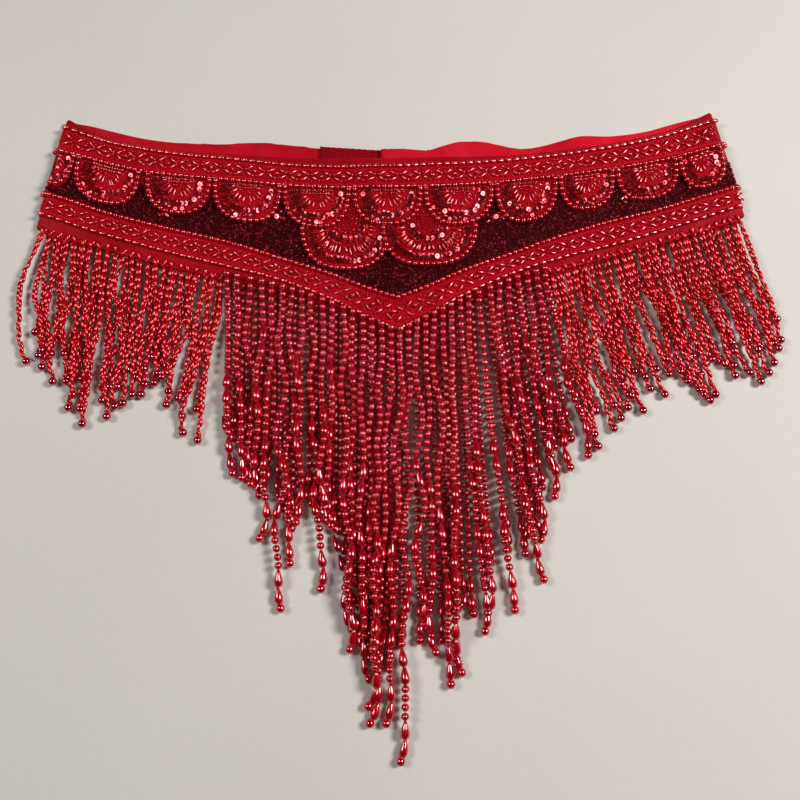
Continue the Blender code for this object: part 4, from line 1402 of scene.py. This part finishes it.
def low_outline(s):
    """How far down the two low fans reach at s."""
    reach = []
    for fan in LOW_FANS:
        across = np.clip(np.abs(s - fan[0]) / (fan[1] * PAD_SHARE), 0, 1)
        reach.append(fan[3] + (1 - across ** (2 / FULLNESS)) ** (FULLNESS / 2) * fan[2] * PAD_SHARE)
    return np.maximum(*reach)


pad_ends = LOW_FANS[:, 0] + (-1, 1) * LOW_FANS[:, 1] * (PAD_SHARE - 0.001)
pad_s = np.linspace(*pad_ends, 60)
pad_marks = strip_marks(pad_s, front_column("row_b", pad_s) + 3.0, low_outline(pad_s), 20)
low_pad = flat_sheet("low_fan_pad", pad_marks, LOW_PAD_UNDER, LOW_BASE, fan_felt)
print("pad of the low fans:", triangles(low_pad), "triangles")

# %% Helpers for the rows of a fan
FAN_BUGLE = 1.6
FAN_SEED = 2.0
SEQUIN, SMALL_SEQUIN, TINY_SEQUIN = 5.2, 4.8, 4.4
rims, bugle_rows, base_rows, oval_rows, sequin_rows = [], [], [], [], []
draw = random.Random(11)


def add_radial(rows, fan, angle, share_from, share_to, out, width):
    """A bead that points at the fan's middle, kept as its centre, aim and size."""
    angle += draw.gauss(0, 0.03)
    shares = np.array([share_from + draw.uniform(-0.02, 0.03), share_to + draw.uniform(-0.05, 0.02)])
    s, t = fan_marks(fan, np.array([angle, angle]), shares)
    if hidden_by_others(fan, s.mean(), t.mean()):
        return
    way = np.array((s[1] - s[0], t[1] - t[0]))
    rows.append((s.mean(), t.mean(), out, *way, width, width, float(np.linalg.norm(way))))


def add_sequins(fan, share, diameter, start, end, lift, overlap=0.72, bright=0.28):
    """A crescent of sequins along one share of the radius. Each leans back on the one before it."""
    s, t = fan_marks(fan, np.linspace(start, end, 80), share)
    length = running_length(s, t)
    count = max(3, round(length[-1] / (diameter * overlap)))
    for place in np.linspace(length[-1] * 0.03, length[-1] * 0.97, count):
        here_s, here_t = np.interp(place, length, s), np.interp(place, length, t)
        ahead_s, ahead_t = np.interp(place + 1, length, s), np.interp(place + 1, length, t)
        if hidden_by_others(fan, here_s, here_t):
            continue
        travel = np.array((ahead_s - here_s, here_t - ahead_t))
        travel /= max(float(np.linalg.norm(travel)), 0.01)
        tilt = -0.30 * travel + np.array((draw.gauss(0, 0.10), draw.gauss(0, 0.10)))
        right_side = here_s > fan[0] - 0.1 * fan[1]
        lamp_side = draw.choice((-1, 1)) if draw.random() < (bright if right_side else 0.05) else 0
        off_s, off_t = draw.uniform(-0.7, 0.7), draw.uniform(-0.7, 0.7)
        place = (here_s + off_s, here_t + off_t, lift + draw.uniform(0, 0.6))
        sequin_rows.append((*place, *tilt, diameter, lamp_side))


# %% Rows of the two kinds of fan
def fill_low_fan(fan, start, end, base):
    for angle in np.linspace(start - 0.05, end + 0.05, 27):
        add_radial(bugle_rows, fan, angle, 0.50, 0.69, base + 1.2, FAN_BUGLE)
        add_radial(base_rows, fan, angle, 0.44, 0.48, base + 1.2, FAN_SEED)
    for angle in np.linspace(start - 0.2, end + 0.2, 9):
        add_radial(base_rows, fan, angle, 0.22, 0.27, base + 1.2, FAN_SEED + 0.2)
    add_sequins(fan, 0.37, SMALL_SEQUIN, start - 0.1, end + 0.1, base + 1.1)
    add_sequins(fan, 0.80, SEQUIN, start - 0.03, end + 0.03, base + 1.1, 0.62)


def fill_small_fan(fan, start, end, base):
    turn = abs(start - end) / math.pi
    for angle in np.linspace(start - 0.14, end + 0.14, max(5, round(10 * turn))):
        add_radial(bugle_rows, fan, angle, 0.28, 0.52, base + 1.3, FAN_BUGLE)
        add_radial(base_rows, fan, angle, 0.20, 0.25, base + 1.4, FAN_SEED)
    add_sequins(fan, 0.70, SEQUIN, start - 0.04, end + 0.04, base + 1.1, 0.62)
    if turn == 1:
        add_sequins(fan, 0.52, SMALL_SEQUIN, start - 0.04, start - 1.0, base + 1.0, 0.66)
        add_sequins(fan, 0.84, TINY_SEQUIN, start - 0.5, start - 1.7, base + 0.9, 0.8)
    for line, reach in ((0.9, 0.42), (3.3, 0.26)):
        for place in np.arange(-reach * fan[1] if turn == 1 else 1.8, reach * fan[1] + 0.1, 3.9):
            here = (fan[0] + place, fan_top(fan) + line, base + 1.4)
            oval_rows.append((*here, 1.0, 0.0, 2.1, 2.1, 3.4))


# %% Rims and rows of every fan
RIM_INSET = 1.3
RIM_OUT = 1.85
for fan in FANS:
    turn = fan_turn(fan)
    base = LOW_BASE if fan[3] else FAN_BASE
    s, t = fan_marks(fan, np.linspace(*turn, 80), 1 - RIM_INSET / fan[1])
    seen = ~hidden_by_others(fan, s, t)
    rims.append(front_line(s[seen], t[seen], base + RIM_OUT))
    fill_rows = fill_low_fan if fan[3] else fill_small_fan
    fill_rows(fan, *turn, base)
print("rows of the fans:", len(bugle_rows), "bugles,", len(sequin_rows), "sequins")

# %% Pearl rims, bugles and small beads of the fans
def sew_rows(name, bead, finish, seed, rows, lean=0.0):
    rows = np.array(rows)
    return sew(name, bead, finish, seed, rows[:, :2], rows[:, 2], rows[:, 3:5], rows[:, 5:8], lean)


fan_pearls = string_pearls("fan_pearls", rims, 8)
fan_bugles = sew_rows("fan_bugles", bugle_bead, ruby_bugle, 9, bugle_rows, 0.8)
fan_bases = sew_rows("fan_bases", seed_bead, crimson_pearl, 10, base_rows)
fan_ovals = sew_rows("fan_ovals", oval_bead, ruby_bugle, 12, oval_rows)

# %% [markdown]
# ## Seeds that fill the appliques
# What is left of each fan between its bugles and rim is packed with crimson seeds. They are laid out
# on a staggered grid, and only where nothing larger is sewn.

# %% Filling seeds
FILL_SEED_OUT = 0.85
FILL_SEED_SIZE = (1.9, 1.9, 1.5)
fill_s, fill_t = [], []
for row, s in enumerate(np.arange(S_LEFT, S_RIGHT, 1.75)):
    top = float(front_column("row_b", s)) + 3.2
    steps = np.arange(top + (row % 2) * 1.0, float(front_column("row_c", s)) - 3, 2.0)
    fill_s += [s + draw.uniform(-0.2, 0.2) for _ in steps]
    fill_t += [t + draw.uniform(-0.2, 0.2) for t in steps]
fill_s, fill_t = np.array(fill_s), np.array(fill_t)
in_small = inside_any(SMALL_FANS, fill_s, fill_t, 0.86)
in_gap = between_fans(fill_s, fill_t) & ~inside_any(FANS, fill_s, fill_t, 1.02)
in_low = (fill_t < low_outline(fill_s) - 4) & (fill_s > pad_s[0] + 3) & (fill_s < pad_s[-1] - 3)
in_low &= ~inside_any(SMALL_FANS, fill_s, fill_t, 1.02)
fill = np.stack([fill_s, fill_t], axis=-1)
bugles = np.array(bugle_rows)
bugle_ends = bugles[:, 3:5] / 2
taken = distance_to_segments(fill, bugles[:, :2] - bugle_ends, bugles[:, :2] + bugle_ends) < 1.5
taken |= distance_to_points(fill, np.array(base_rows + oval_rows)[:, :2]) < 1.6
taken |= distance_to_points(fill, np.array(sequin_rows)[:, :2]) < 1.9
free = (in_small | in_low | in_gap) & ~taken
under_seed = np.where(in_small, FAN_BASE, np.where(in_low, LOW_BASE, GROUND_HIGH))
fill_out = under_seed[free] + FILL_SEED_OUT
aims = random_aims(draw, int(free.sum()))
fan_seeds = sew("fan_seeds", seed_bead, crimson_seed, 14, fill[free], fill_out, aims, FILL_SEED_SIZE)

# %% [markdown]
# ## Cup sequins
# A cup sequin is a small dished disc with a hole, sewn so that each one covers the edge of the last.
# They lean along their crescent like scales, so most of them look almost black, and the few that
# happen to face a lamp flash pink. Loose ones are dotted over the dark ground, each with a few beads.

# %% Loose motifs on the ground
LOOSE_MOTIFS = [
    (-84, 47), (-104, 48), (68, 48), (81, 42), (126, 44), (-160, 50), (-215, 46), (160, 44),
    (205, 44),
]
MOTIF_OUT = GROUND_HIGH + 1.3
motif_beads = []
for s, t in LOOSE_MOTIFS:
    sequin_rows.append((s, t, MOTIF_OUT, 0.0, 0.0, 5.0, draw.choice((-1, 1))))
    beside = (s + draw.uniform(3.5, 6), t + draw.uniform(-2, 2), GROUND_HIGH + 1.2)
    sequin_rows.append((*beside, 0.1, 0.2, 4.6, 0))
    for _ in range(5):
        angle, reach = draw.uniform(0, TURN), draw.uniform(3.6, 7.5)
        cos, sin = math.cos(angle), math.sin(angle)
        size = (2.0, 2.0, draw.choice((2.0, 4.0)))
        motif_beads.append((s + reach * cos, t + reach * sin * 0.7, MOTIF_OUT, cos, sin, *size))
motif_bugles = sew_rows("motif_bugles", oval_bead, ruby_bugle, 15, motif_beads)

# %% Sequins
MIRROR_ERROR = 0.025
sequins = np.array(sequin_rows)
here, normal = on_front(*sequins[:, :3].T)
leaning = normal + np.concatenate([sequins[:, 3:5], np.zeros((len(sequins), 1))], axis=1)
lamp_side = sequins[:, 6:7]
glint = glint_way(here, lamp_side) + np.random.default_rng(5).normal(0, MIRROR_ERROR, here.shape)
leaning = unit(np.where(lamp_side == 0, leaning, glint))
sequin_sizes = np.repeat(sequins[:, 5:6], 3, axis=1)
fan_sequins = harvest(
    "fan_sequins",
    sewn_source("cloud", here, leaning, (1.0, 0.0, 0.0), sequin_sizes),
    SEWN_BEADS,
    Bead=cup_sequin,
    Finish=red_sequin,
    Seed=13,
)

# %% [markdown]
# ## The fringe: how the strands lie
# About a hundred and seventy strands hang from the two lower edges. On a flat surface those of the
# front fan out, wander, and lie over those of the back. Each front strand has its own end, in a
# table of X and Y. The strands of one layer are then pushed apart until they hardly lie inside each
# other. Where front strands are still crowded, every second one rides up over the two beside it.
# The side ropes come out from under the front's edge, and the middle strings lie over its hem.

# %% Ends of the front strands
LEFT_TIPS = np.array([
    (-250, 37), (-242, 41), (-239, 33), (-231, 23), (-222, 23), (-219, 5), (-217, 14), (-211, 4),
    (-209, -6), (-197, 10), (-193, -1), (-188, 6), (-183, 8), (-177, 14), (-171, 14), (-169, 21),
    (-163, 22), (-158, 26), (-154, 7), (-153, 16), (-143, -1), (-142, -12), (-132, -17),
])
CENTRE_TIPS = np.array([
    (-108, -39), (-102, -42), (-96, -46), (-91, -49), (-89, -81), (-74, -125), (-69, -97),
    (-66, -71), (-49, -113), (-47, -59), (-43, -73), (-30, -150), (-29, -138), (-23, -141),
    (-18, -168), (-18, -184), (-17, -194), (-7, -194), (2, -216), (16, -135), (24, -152),
    (33, -171), (40, -164), (37, -156), (55, -139), (57, -128), (74, -126), (93, -107), (81, -84),
    (92, -82), (102, -54), (104, -39), (113, -35), (125, -27),
])
RIGHT_TIPS = np.array([
    (132, -21), (130, -13), (143, -9), (148, -2), (153, 5), (156, 13), (163, 3), (169, 18),
    (178, 14), (182, 28), (194, 23), (201, 17), (204, 14), (208, 10), (212, 14), (220, 35),
    (226, 34), (226, 27), (236, 29), (243, 45), (243, 23), (249, 29), (253, 36), (257, 46),
    (259, 52),
])
TIPS = {"left": LEFT_TIPS, "centre": CENTRE_TIPS, "right": RIGHT_TIPS}
print("front strands:", {side: len(tips) for side, tips in TIPS.items()})

# %% Where strands start, and how they wander
LEVEL = 3.0
BENT_END = 14


def front_edge(x):
    return np.interp(x, GRID[:, -1, 0], GRID[:, -1, 1])


def back_edge(x):
    left = left_back[:, -1][np.argsort(left_back[:, -1, 0])]
    right = right_back[:, -1][np.argsort(right_back[:, -1, 0])]
    on_left = np.interp(x, left[:, 0], left[:, 1], right=1e3)
    on_right = np.interp(x, right[:, 0], right[:, 1], left=1e3)
    return np.minimum(on_left, on_right)


def wandering(roots, tips, down, u, left_over, draw, sway, bulge, kink, waves):
    """X of each strand at every level if it lay alone, with soft waves and a bent end."""
    count = len(roots)
    near_root, near_tip = np.clip(down / 45, 0, 1), np.clip((1 - u) * 6, 0, 1)
    x = roots[:, None] + (tips[:, 0] - roots)[:, None] * u**1.3
    for _ in range(3):
        length = draw.uniform(*waves, count)[:, None]
        phase = draw.uniform(0, TURN, count)[:, None]
        size = draw.normal(0, sway, count)[:, None]
        x += size * np.sin(down / length * TURN + phase) * near_root * near_tip
    x += bulge(roots)[:, None] * np.sin(math.pi * u)
    bend = draw.choice([-1.0, 1.0], count) * draw.uniform(0.2, 1.0, count) * kink
    bent = np.clip(left_over / BENT_END, 0, 1) ** 0.7
    x += bend[:, None] * bent * np.exp(-np.clip(left_over - BENT_END, 0, None) / 18)
    return x


# %% Pushing strands apart and letting them ride up
PUSH_ROUNDS = 60
PUSH_SHARE = 0.25
CALMING = 0.4
RISE_ROUNDS = 6


def push_apart(x, alive, anchored, room, beside):
    """Moves crowded strands sideways in small steps, and smooths each strand after each step."""
    for _ in range(PUSH_ROUNDS):
        for step in beside:
            gap = x[step:] - x[:-step]
            both = alive[step:] & alive[:-step]
            push = np.where(both, np.maximum(room - gap, 0), 0) * PUSH_SHARE
            x[step:] += push * anchored[step:]
            x[:-step] -= push * anchored[:-step]
        calm = (x[:, :-2] + 2 * x[:, 1:-1] + x[:, 2:]) / 4
        inner = alive[:, 1:-1] & alive[:, :-2] & alive[:, 2:]
        calmer = x[:, 1:-1] * (1 - CALMING) + calm * CALMING
        x[:, 1:-1] = np.where(inner, calmer, x[:, 1:-1])


def ride_up(x, alive, width):
    """How far every second strand rises where it would otherwise lie inside a neighbour."""
    lift = np.zeros(x.shape)
    for step in (1, 3, 5):
        gap = np.abs(x[step:] - x[:-step])
        both = alive[step:] & alive[:-step]
        need = np.where(both, np.sqrt(np.clip(width**2 - gap**2, 0, None)), 0)
        lift[step:] = np.maximum(lift[step:], need)
        lift[:-step] = np.maximum(lift[:-step], need)
    lift[0::2] = 0
    for _ in range(RISE_ROUNDS):
        lift[:, 1:-1] = np.maximum(lift[:, 1:-1], (lift[:, :-2] + lift[:, 2:]) / 2 * 0.97)
    return lift


# %% The lie of one layer
def lay_strands(
    roots, edge, tips, seed, width, crowd, sway, bulge, kink, waves=(38, 110), beside=(1, 2, 3)
):
    """The levels in Y, and each strand's X, whether it reaches there and its rise, at every level."""
    top = edge(roots)
    levels = np.arange(top.max(), tips[:, 1].min() - LEVEL, -LEVEL)
    share = (top[:, None] - levels[None]) / (top - tips[:, 1])[:, None]
    alive = (share >= -0.02) & (share <= 1.02)
    down = np.clip(top[:, None] - levels[None], 0, None)
    left_over = levels[None] - tips[:, 1][:, None]
    draw = np.random.default_rng(seed)
    x = wandering(roots, tips, down, np.clip(share, 0, 1), left_over, draw, sway, bulge, kink, waves)
    push_apart(x, alive, np.clip(down / 12, 0.0, 1.0), width * crowd, beside)
    return levels, x, alive, ride_up(x, alive, width)


# %% Lines of the strands
FLOOR_GAP = 0.35
END_PEARL = 6.0
DROP_OVER = 30.0
EASE = 16


def strand_lines(roots, edge, tips, laid, radius, high, over, root_high):
    """Lines of points from each tip to its root. high is the height of a strand's middle."""
    levels, x, alive, lift = laid
    low = FLOOR_GAP + radius
    lines = []
    for i, root in enumerate(roots):
        top = float(edge(root)) + over
        between = (levels > tips[i, 1] + 1) & (levels < top - 2)
        inside = np.flatnonzero(alive[i] & between)
        xs = np.concatenate([[tips[i, 0]], x[i, inside][::-1], [root]])
        ys = np.concatenate([[tips[i, 1]], levels[inside][::-1], [top]])
        rides = np.concatenate([[0], lift[i, inside][::-1], [0]])
        left_over = ys - tips[i, 1]
        share = np.clip(left_over / DROP_OVER, 0, 1)
        z = low + (high - low) * share * share * (3 - 2 * share)
        z = z + rides * np.clip(left_over / EASE, 0, 1)
        z[0] = max(z[0], FLOOR_GAP + END_PEARL / 2)
        near_root = np.clip((top - ys) / EASE, 0, 1)
        z = np.maximum(z * near_root + root_high * (1 - near_root), low)
        lines.append(np.stack([xs, ys, z], axis=-1))
    return lines


# %% Front strands
ROPE_ROOM = 3.3
ROPE_RADIUS = 2.5
STRING_PEARL = 5.2
STRING_PITCH = 5.35
DROP_RADIUS = 3.1
OVER_HEM = on_front(0.0, LENGTHS.max(), 0.0)[0][2]


def no_bulge(x):
    return x * 0


def left_bulge(x):
    return -11.0 * np.clip(1 - (x + 247) / 16, 0, 1)


def right_bulge(x):
    return 6.0 * np.clip(1 - (238 - x) / 14, 0, 1)


CENTRE_ROOTS = np.array([
    -116.6, -109.4, -100.2, -92.5, -85.4, -78.2, -71.6, -65.2, -58.9, -51.0, -44.4, -36.7, -30.2,
    -23.4, -17.4, -10.9, -4.4, 1.9, 7.6, 13.1, 18.8, 24.7, 30.4, 36.3, 42.2, 48.0, 54.9, 62.8,
    69.4, 75.4, 81.7, 88.1, 94.4, 100.6,
])
ROOTS = {
    "left": np.linspace(-246, -121, len(LEFT_TIPS)),
    "centre": CENTRE_ROOTS,
    "right": np.linspace(104.5, 237, len(RIGHT_TIPS)),
}
BULGES = {"left": left_bulge, "centre": no_bulge, "right": right_bulge}
ROPES = {
    "width": ROPE_ROOM, "crowd": 0.9, "sway": 2.9, "kink": 4.0, "waves": (34, 72), "beside": (2, 4)
}
STRINGS = {"width": STRING_PEARL, "crowd": 0.95, "sway": 2.2, "kink": 7.0, "beside": (2, 4)}
ROPE_PLACE = {
    "radius": ROPE_RADIUS,
    "high": 3.4 + ROPE_ROOM / 2,
    "over": -0.6,
    "root_high": CLOTH / 2 + 4.6,
}
STRING_PLACE = {
    "radius": STRING_PEARL / 2,
    "high": 4.4 + STRING_PEARL / 2,
    "over": 1.2,
    "root_high": OVER_HEM + STRING_PEARL / 2,
}
front_strands = {}
for side, roots in ROOTS.items():
    habits, place = (STRINGS, STRING_PLACE) if side == "centre" else (ROPES, ROPE_PLACE)
    laid = lay_strands(roots, front_edge, TIPS[side], len(side) + 20, bulge=BULGES[side], **habits)
    front_strands[side] = strand_lines(roots, front_edge, TIPS[side], laid, **place)
print("levels of the right strands:", len(laid[0]))

# %% Back strands
BACK_STRANDS = {
    "left": (-243, -122, 6.0, 16, ROPE_ROOM, 1.0, 2.6, ROPE_RADIUS),
    "centre": (-116.6, 99.6, 4.6, 26, STRING_PEARL, 0.87, 0.3, DROP_RADIUS),
    "right": (105, 234, 6.0, 16, ROPE_ROOM, 1.0, 2.6, ROPE_RADIUS),
}
back_strands = {}
for side, (first, last, pitch, shorter, width, crowd, sway, radius) in BACK_STRANDS.items():
    roots = np.linspace(first, last, round((last - first) / pitch) + 1)
    front_tips = TIPS[side]
    smooth_y = np.convolve(np.pad(front_tips[:, 1], 2, mode="edge"), np.ones(5) / 5, mode="valid")
    columns = (front_tips[:, 0], smooth_y)
    tips = np.stack([np.interp(roots, ROOTS[side], column) for column in columns], axis=-1)
    tips[:, 1] += shorter + 6 * np.sin(roots * 1.7)
    if side == "centre":
        steps = np.round(tips[:, 1] / STRING_PITCH) + np.arange(len(roots)) % 2 / 2
        tips[:, 1] = steps * STRING_PITCH
    seed = len(side) + 40
    laid = lay_strands(roots, back_edge, tips, seed, width, crowd, sway, no_bulge, 2.0)
    levels, x, alive, lift = laid
    flat = (levels, x, alive, lift * 0)
    high = FLOOR_GAP + radius
    place = {"radius": radius, "high": high, "over": -0.6, "root_high": CLOTH / 2 + 0.6}
    back_strands[side] = strand_lines(roots, back_edge, tips, flat, **place)
print("back strands:", {side: len(lines) for side, lines in back_strands.items()})

# %% [markdown]
# ## The fringe: stringing the beads
# The middle strands are round pearls with drops near their ends, and the side strands are twisted
# pairs of rice beads, each closed by one large pearl. Both trees from above now run on the lines.

# %% Strings of pearls and drops
FIRST_REPEAT, LATER_REPEATS = 30, 45
MOST_REPEATS = {"front": 3, "back": 1}
LAYERS = {"front": front_strands, "back": back_strands}
# The back layer's pearls carry painted shade.
PEARL_FINISHES = {"front": crimson_pearl, "back": under_pearl}
fringe_pieces = {}
for layer, strands in LAYERS.items():
    lines = strands["centre"]
    lengths = np.array([np.linalg.norm(np.diff(line, axis=0), axis=1).sum() for line in lines])
    repeats = np.clip(np.round((lengths - FIRST_REPEAT) / LATER_REPEATS), 1, MOST_REPEATS[layer])
    pearls = harvest(
        "pearl_fringe_" + layer,
        path_source("path", lines, repeats=repeats),
        PEARLS_AND_DROPS,
        Bead=pearl_bead,
        Drop=drop_bead,
        Finish=PEARL_FINISHES[layer],
        Seed=21,
        Pitch=STRING_PITCH * MM,
        Width=STRING_PEARL * MM,
        **{"Drop width": 6.0 * MM, "End width": END_PEARL * MM},
    )
    fringe_pieces[layer + "_centre"] = [pearls]

# %% Twisted pairs and their end pearls
ROPE_TURN = 12.0
ROPE_SPREAD = 1.0
RICE_WIDTH, RICE_LENGTH = 2.35, 5.9
PHASE_STEP = 0.37

for layer, strands in LAYERS.items():
    for side in ("left", "right"):
        lines = strands[side]
        phases = np.arange(len(lines)) * PHASE_STEP % 1
        rope = harvest(
            f"twisted_fringe_{layer}_{side}",
            path_source("path", [line[1:] for line in lines], phase=phases),
            TWISTED_PAIR,
            Bead=rice_bead,
            Finish=rice_red,
            Seed=22,
            Turn=ROPE_TURN * MM,
            Spread=ROPE_SPREAD * MM,
            Width=RICE_WIDTH * MM,
            Length=RICE_LENGTH * MM,
        )
        tips = [line[0] for line in lines]
        ends = sewn_source("cloud", tips, (0.0, 1.0, 0.0), (0.0, 0.0, 1.0), (END_PEARL,) * 3)
        name = f"end_pearls_{layer}_{side}"
        pearls = harvest(name, ends, SEWN_BEADS, Bead=pearl_bead, Finish=end_pearl, Seed=23)
        fringe_pieces[f"{layer}_{side}"] = [rope, pearls]

# %% [markdown]
# ## Fringe tapes and stitches
# The strands are knotted into narrow tapes that are sewn behind the two lower edges. A line of
# stitches runs along the top edge of the front, and another along its lower edge. A stitch is a
# short rounded bead of thread, so the row tree makes them too.

# %% Fringe tapes
FRINGE_TAPE_DOWN = np.array([0.35, 1.2, 2.4])
FRINGE_TAPE_THICK = 1.1
TAPE_ENDS = {"left": (-246.5, -121.5), "centre": (-120.5, 103.5), "right": (104.5, 238.5)}
for layer, edge, low in (("front", front_edge, 4.6), ("back", back_edge, FLOOR_GAP)):
    for side, (first, last) in TAPE_ENDS.items():
        x = even_steps(first, last, 3.0)
        flat = along_x(x, edge(x)[:, None] - FRINGE_TAPE_DOWN[None])
        upper, lower = at_height(flat, low + FRINGE_TAPE_THICK), at_height(flat, low)
        fringe_tape = sheet_between(f"fringe_tape_{layer}_{side}", upper, lower, tape_cloth, flat)
        fringe_pieces[f"{layer}_{side}"].append(fringe_tape)
print("groups of strands with their tapes:", len(fringe_pieces))

# %% Stitches
stitch_lines = [front_line(GRID_S, 1.7, 0.12), front_line(GRID_S, LENGTHS - 1.4, 0.18)]
stitches = harvest(
    "stitches",
    path_source("path", stitch_lines),
    BEADS_IN_A_ROW,
    Bead=rice_bead,
    Finish=red_thread,
    Seed=30,
    Pitch=2.7 * MM,
    Width=0.5 * MM,
    Length=2.1 * MM,
    Unevenness=0.1,
)

# %% [markdown]
# ## The floor, the lights and the camera
# The belt lies on a plain pale floor. Two soft lamps hang above it, left and right, so that every
# round bead shows two small highlights side by side. The camera looks down steeply from the side of
# the fringe.

# %% Floor
FLOOR_REACH = 4.0
FLOOR_Z = -0.0002
floor_paper, tree, shader = new_finish("floor_paper", 0.85, specular=0.2)
colour = mix_colours(tree, noise(tree, 0.12, 3.0), (0.66, 0.64, 0.61), (0.74, 0.72, 0.69))
tree.links.new(colour, shader.inputs["Base Color"])
bump(tree, shader, noise(tree, 0.004, 4.0), 0.25, 0.001)
floor_mesh = bpy.data.meshes.new("floor")
signs = ((-1, -1), (1, -1), (1, 1), (-1, 1))
corners = [(x * FLOOR_REACH, y * FLOOR_REACH, FLOOR_Z) for x, y in signs]
floor_mesh.from_pydata(corners, [], [(0, 1, 2, 3)])
floor_mesh.materials.append(floor_paper)
floor = new_object("floor", floor_mesh)
floor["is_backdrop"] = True
print("floor:", 2 * FLOOR_REACH, "m wide")

# %% Lamps
LAMP_SIZE = 0.50
LAMPS = {"lamp_left": (-1, 8.8, (1.0, 0.98, 0.95)), "lamp_right": (1, 20.8, (1.0, 0.97, 0.94))}


def lamp(name, side, power, colour):
    """A soft round lamp that hangs at one side, where glint_way expects it, and looks at the belt."""
    light = bpy.data.lights.new(name, "AREA")
    light.shape = "DISK"
    light.size = LAMP_SIZE
    light.energy = power
    light.color = colour
    made = bpy.data.objects.new(name, light)
    bpy.context.scene.collection.objects.link(made)
    place = Vector((side * LAMP[0] * MM, LAMP[1] * MM, LAMP[2] * MM))
    made.location = place
    made.rotation_euler = (-place).to_track_quat("-Z", "Y").to_euler()


for name, (side, power, colour) in LAMPS.items():
    lamp(name, side, power, colour)
print("lamps in watts:", {name: power for name, (_, power, _) in LAMPS.items()})

# %% The world
SKY_STRENGTH = 0.09
world = bpy.data.worlds.new("studio")
world.use_nodes = True
sky = world.node_tree.nodes["Background"]
sky.inputs["Color"].default_value = (1.0, 0.98, 0.96, 1.0)
sky.inputs["Strength"].default_value = SKY_STRENGTH
world.cycles_visibility.glossy = False
bpy.context.scene.world = world
bpy.context.scene.view_settings.view_transform = "Standard"
print("light from all round:", SKY_STRENGTH)

# %% Camera
ELEVATION = math.radians(77)
DISTANCE = 0.603
AIM = Vector((0.0002, 0.0074, 0.0))
sight = Vector((0.0, math.cos(ELEVATION), -math.sin(ELEVATION)))
camera_data = bpy.data.cameras.new("camera")
camera_data.lens = 40.5
camera_data.sensor_width = 36.0
camera_data.clip_start = 0.01
camera = bpy.data.objects.new("camera", camera_data)
bpy.context.scene.collection.objects.link(camera)
camera.location = AIM - sight * DISTANCE
camera.rotation_euler = sight.to_track_quat("-Z", "Y").to_euler()
bpy.context.scene.camera = camera
print("camera in mm:", [round(x / MM) for x in camera.location])

# %% [markdown]
# ## Fastening every piece to the frame
# The belt is cloth, so it has no joints and one body. Each piece rides on that body, and the solids
# that it stands for are hidden.

# %% Pieces and solids
FAN_NODES = [f"fan_{i:02d}" for i in range(1, 12)] + ["fan_low_left", "fan_low_right"]


def dress(pieces, slot, *nodes):
    for piece in pieces:
        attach(piece, "root")
        if nodes:
            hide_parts(*nodes)


dress([belt_cloth], "red_satin", "band")
dress([loop_tape], "dark_red_tape", "closure_loop")
dress([hook_tape], "dark_red_tape", "closure_hook")
dress([seed_ground, ground_seeds, motif_bugles], "garnet_seed", "beaded_ground")
for braid, pieces in braid_pieces.items():
    dress(pieces, "ruby_bugle", braid)
fan_pieces = [fan_pads, low_pad, fan_pearls, fan_bugles, fan_bases, fan_ovals, fan_seeds, fan_sequins]
dress(fan_pieces, "red_sequin", *FAN_NODES)
for place, pieces in fringe_pieces.items():
    slot = "crimson_pearl" if place.endswith("centre") else "rice_bead"
    dress(pieces, slot, "fringe_" + place)
dress([stitches], "red_satin")
for pattern in patterns:
    bpy.data.objects.remove(pattern)

sewn_on = [piece for pieces in braid_pieces.values() for piece in pieces]
sewn_on += [seed_ground, ground_seeds, motif_bugles, *fan_pieces, stitches]
sewn_on += [piece for pieces in fringe_pieces.values() for piece in pieces]

# %% Sizes and finish
low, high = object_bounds()
print("visual box in mm:", [round(x * 1000, 1) for x in (*low, *high)])
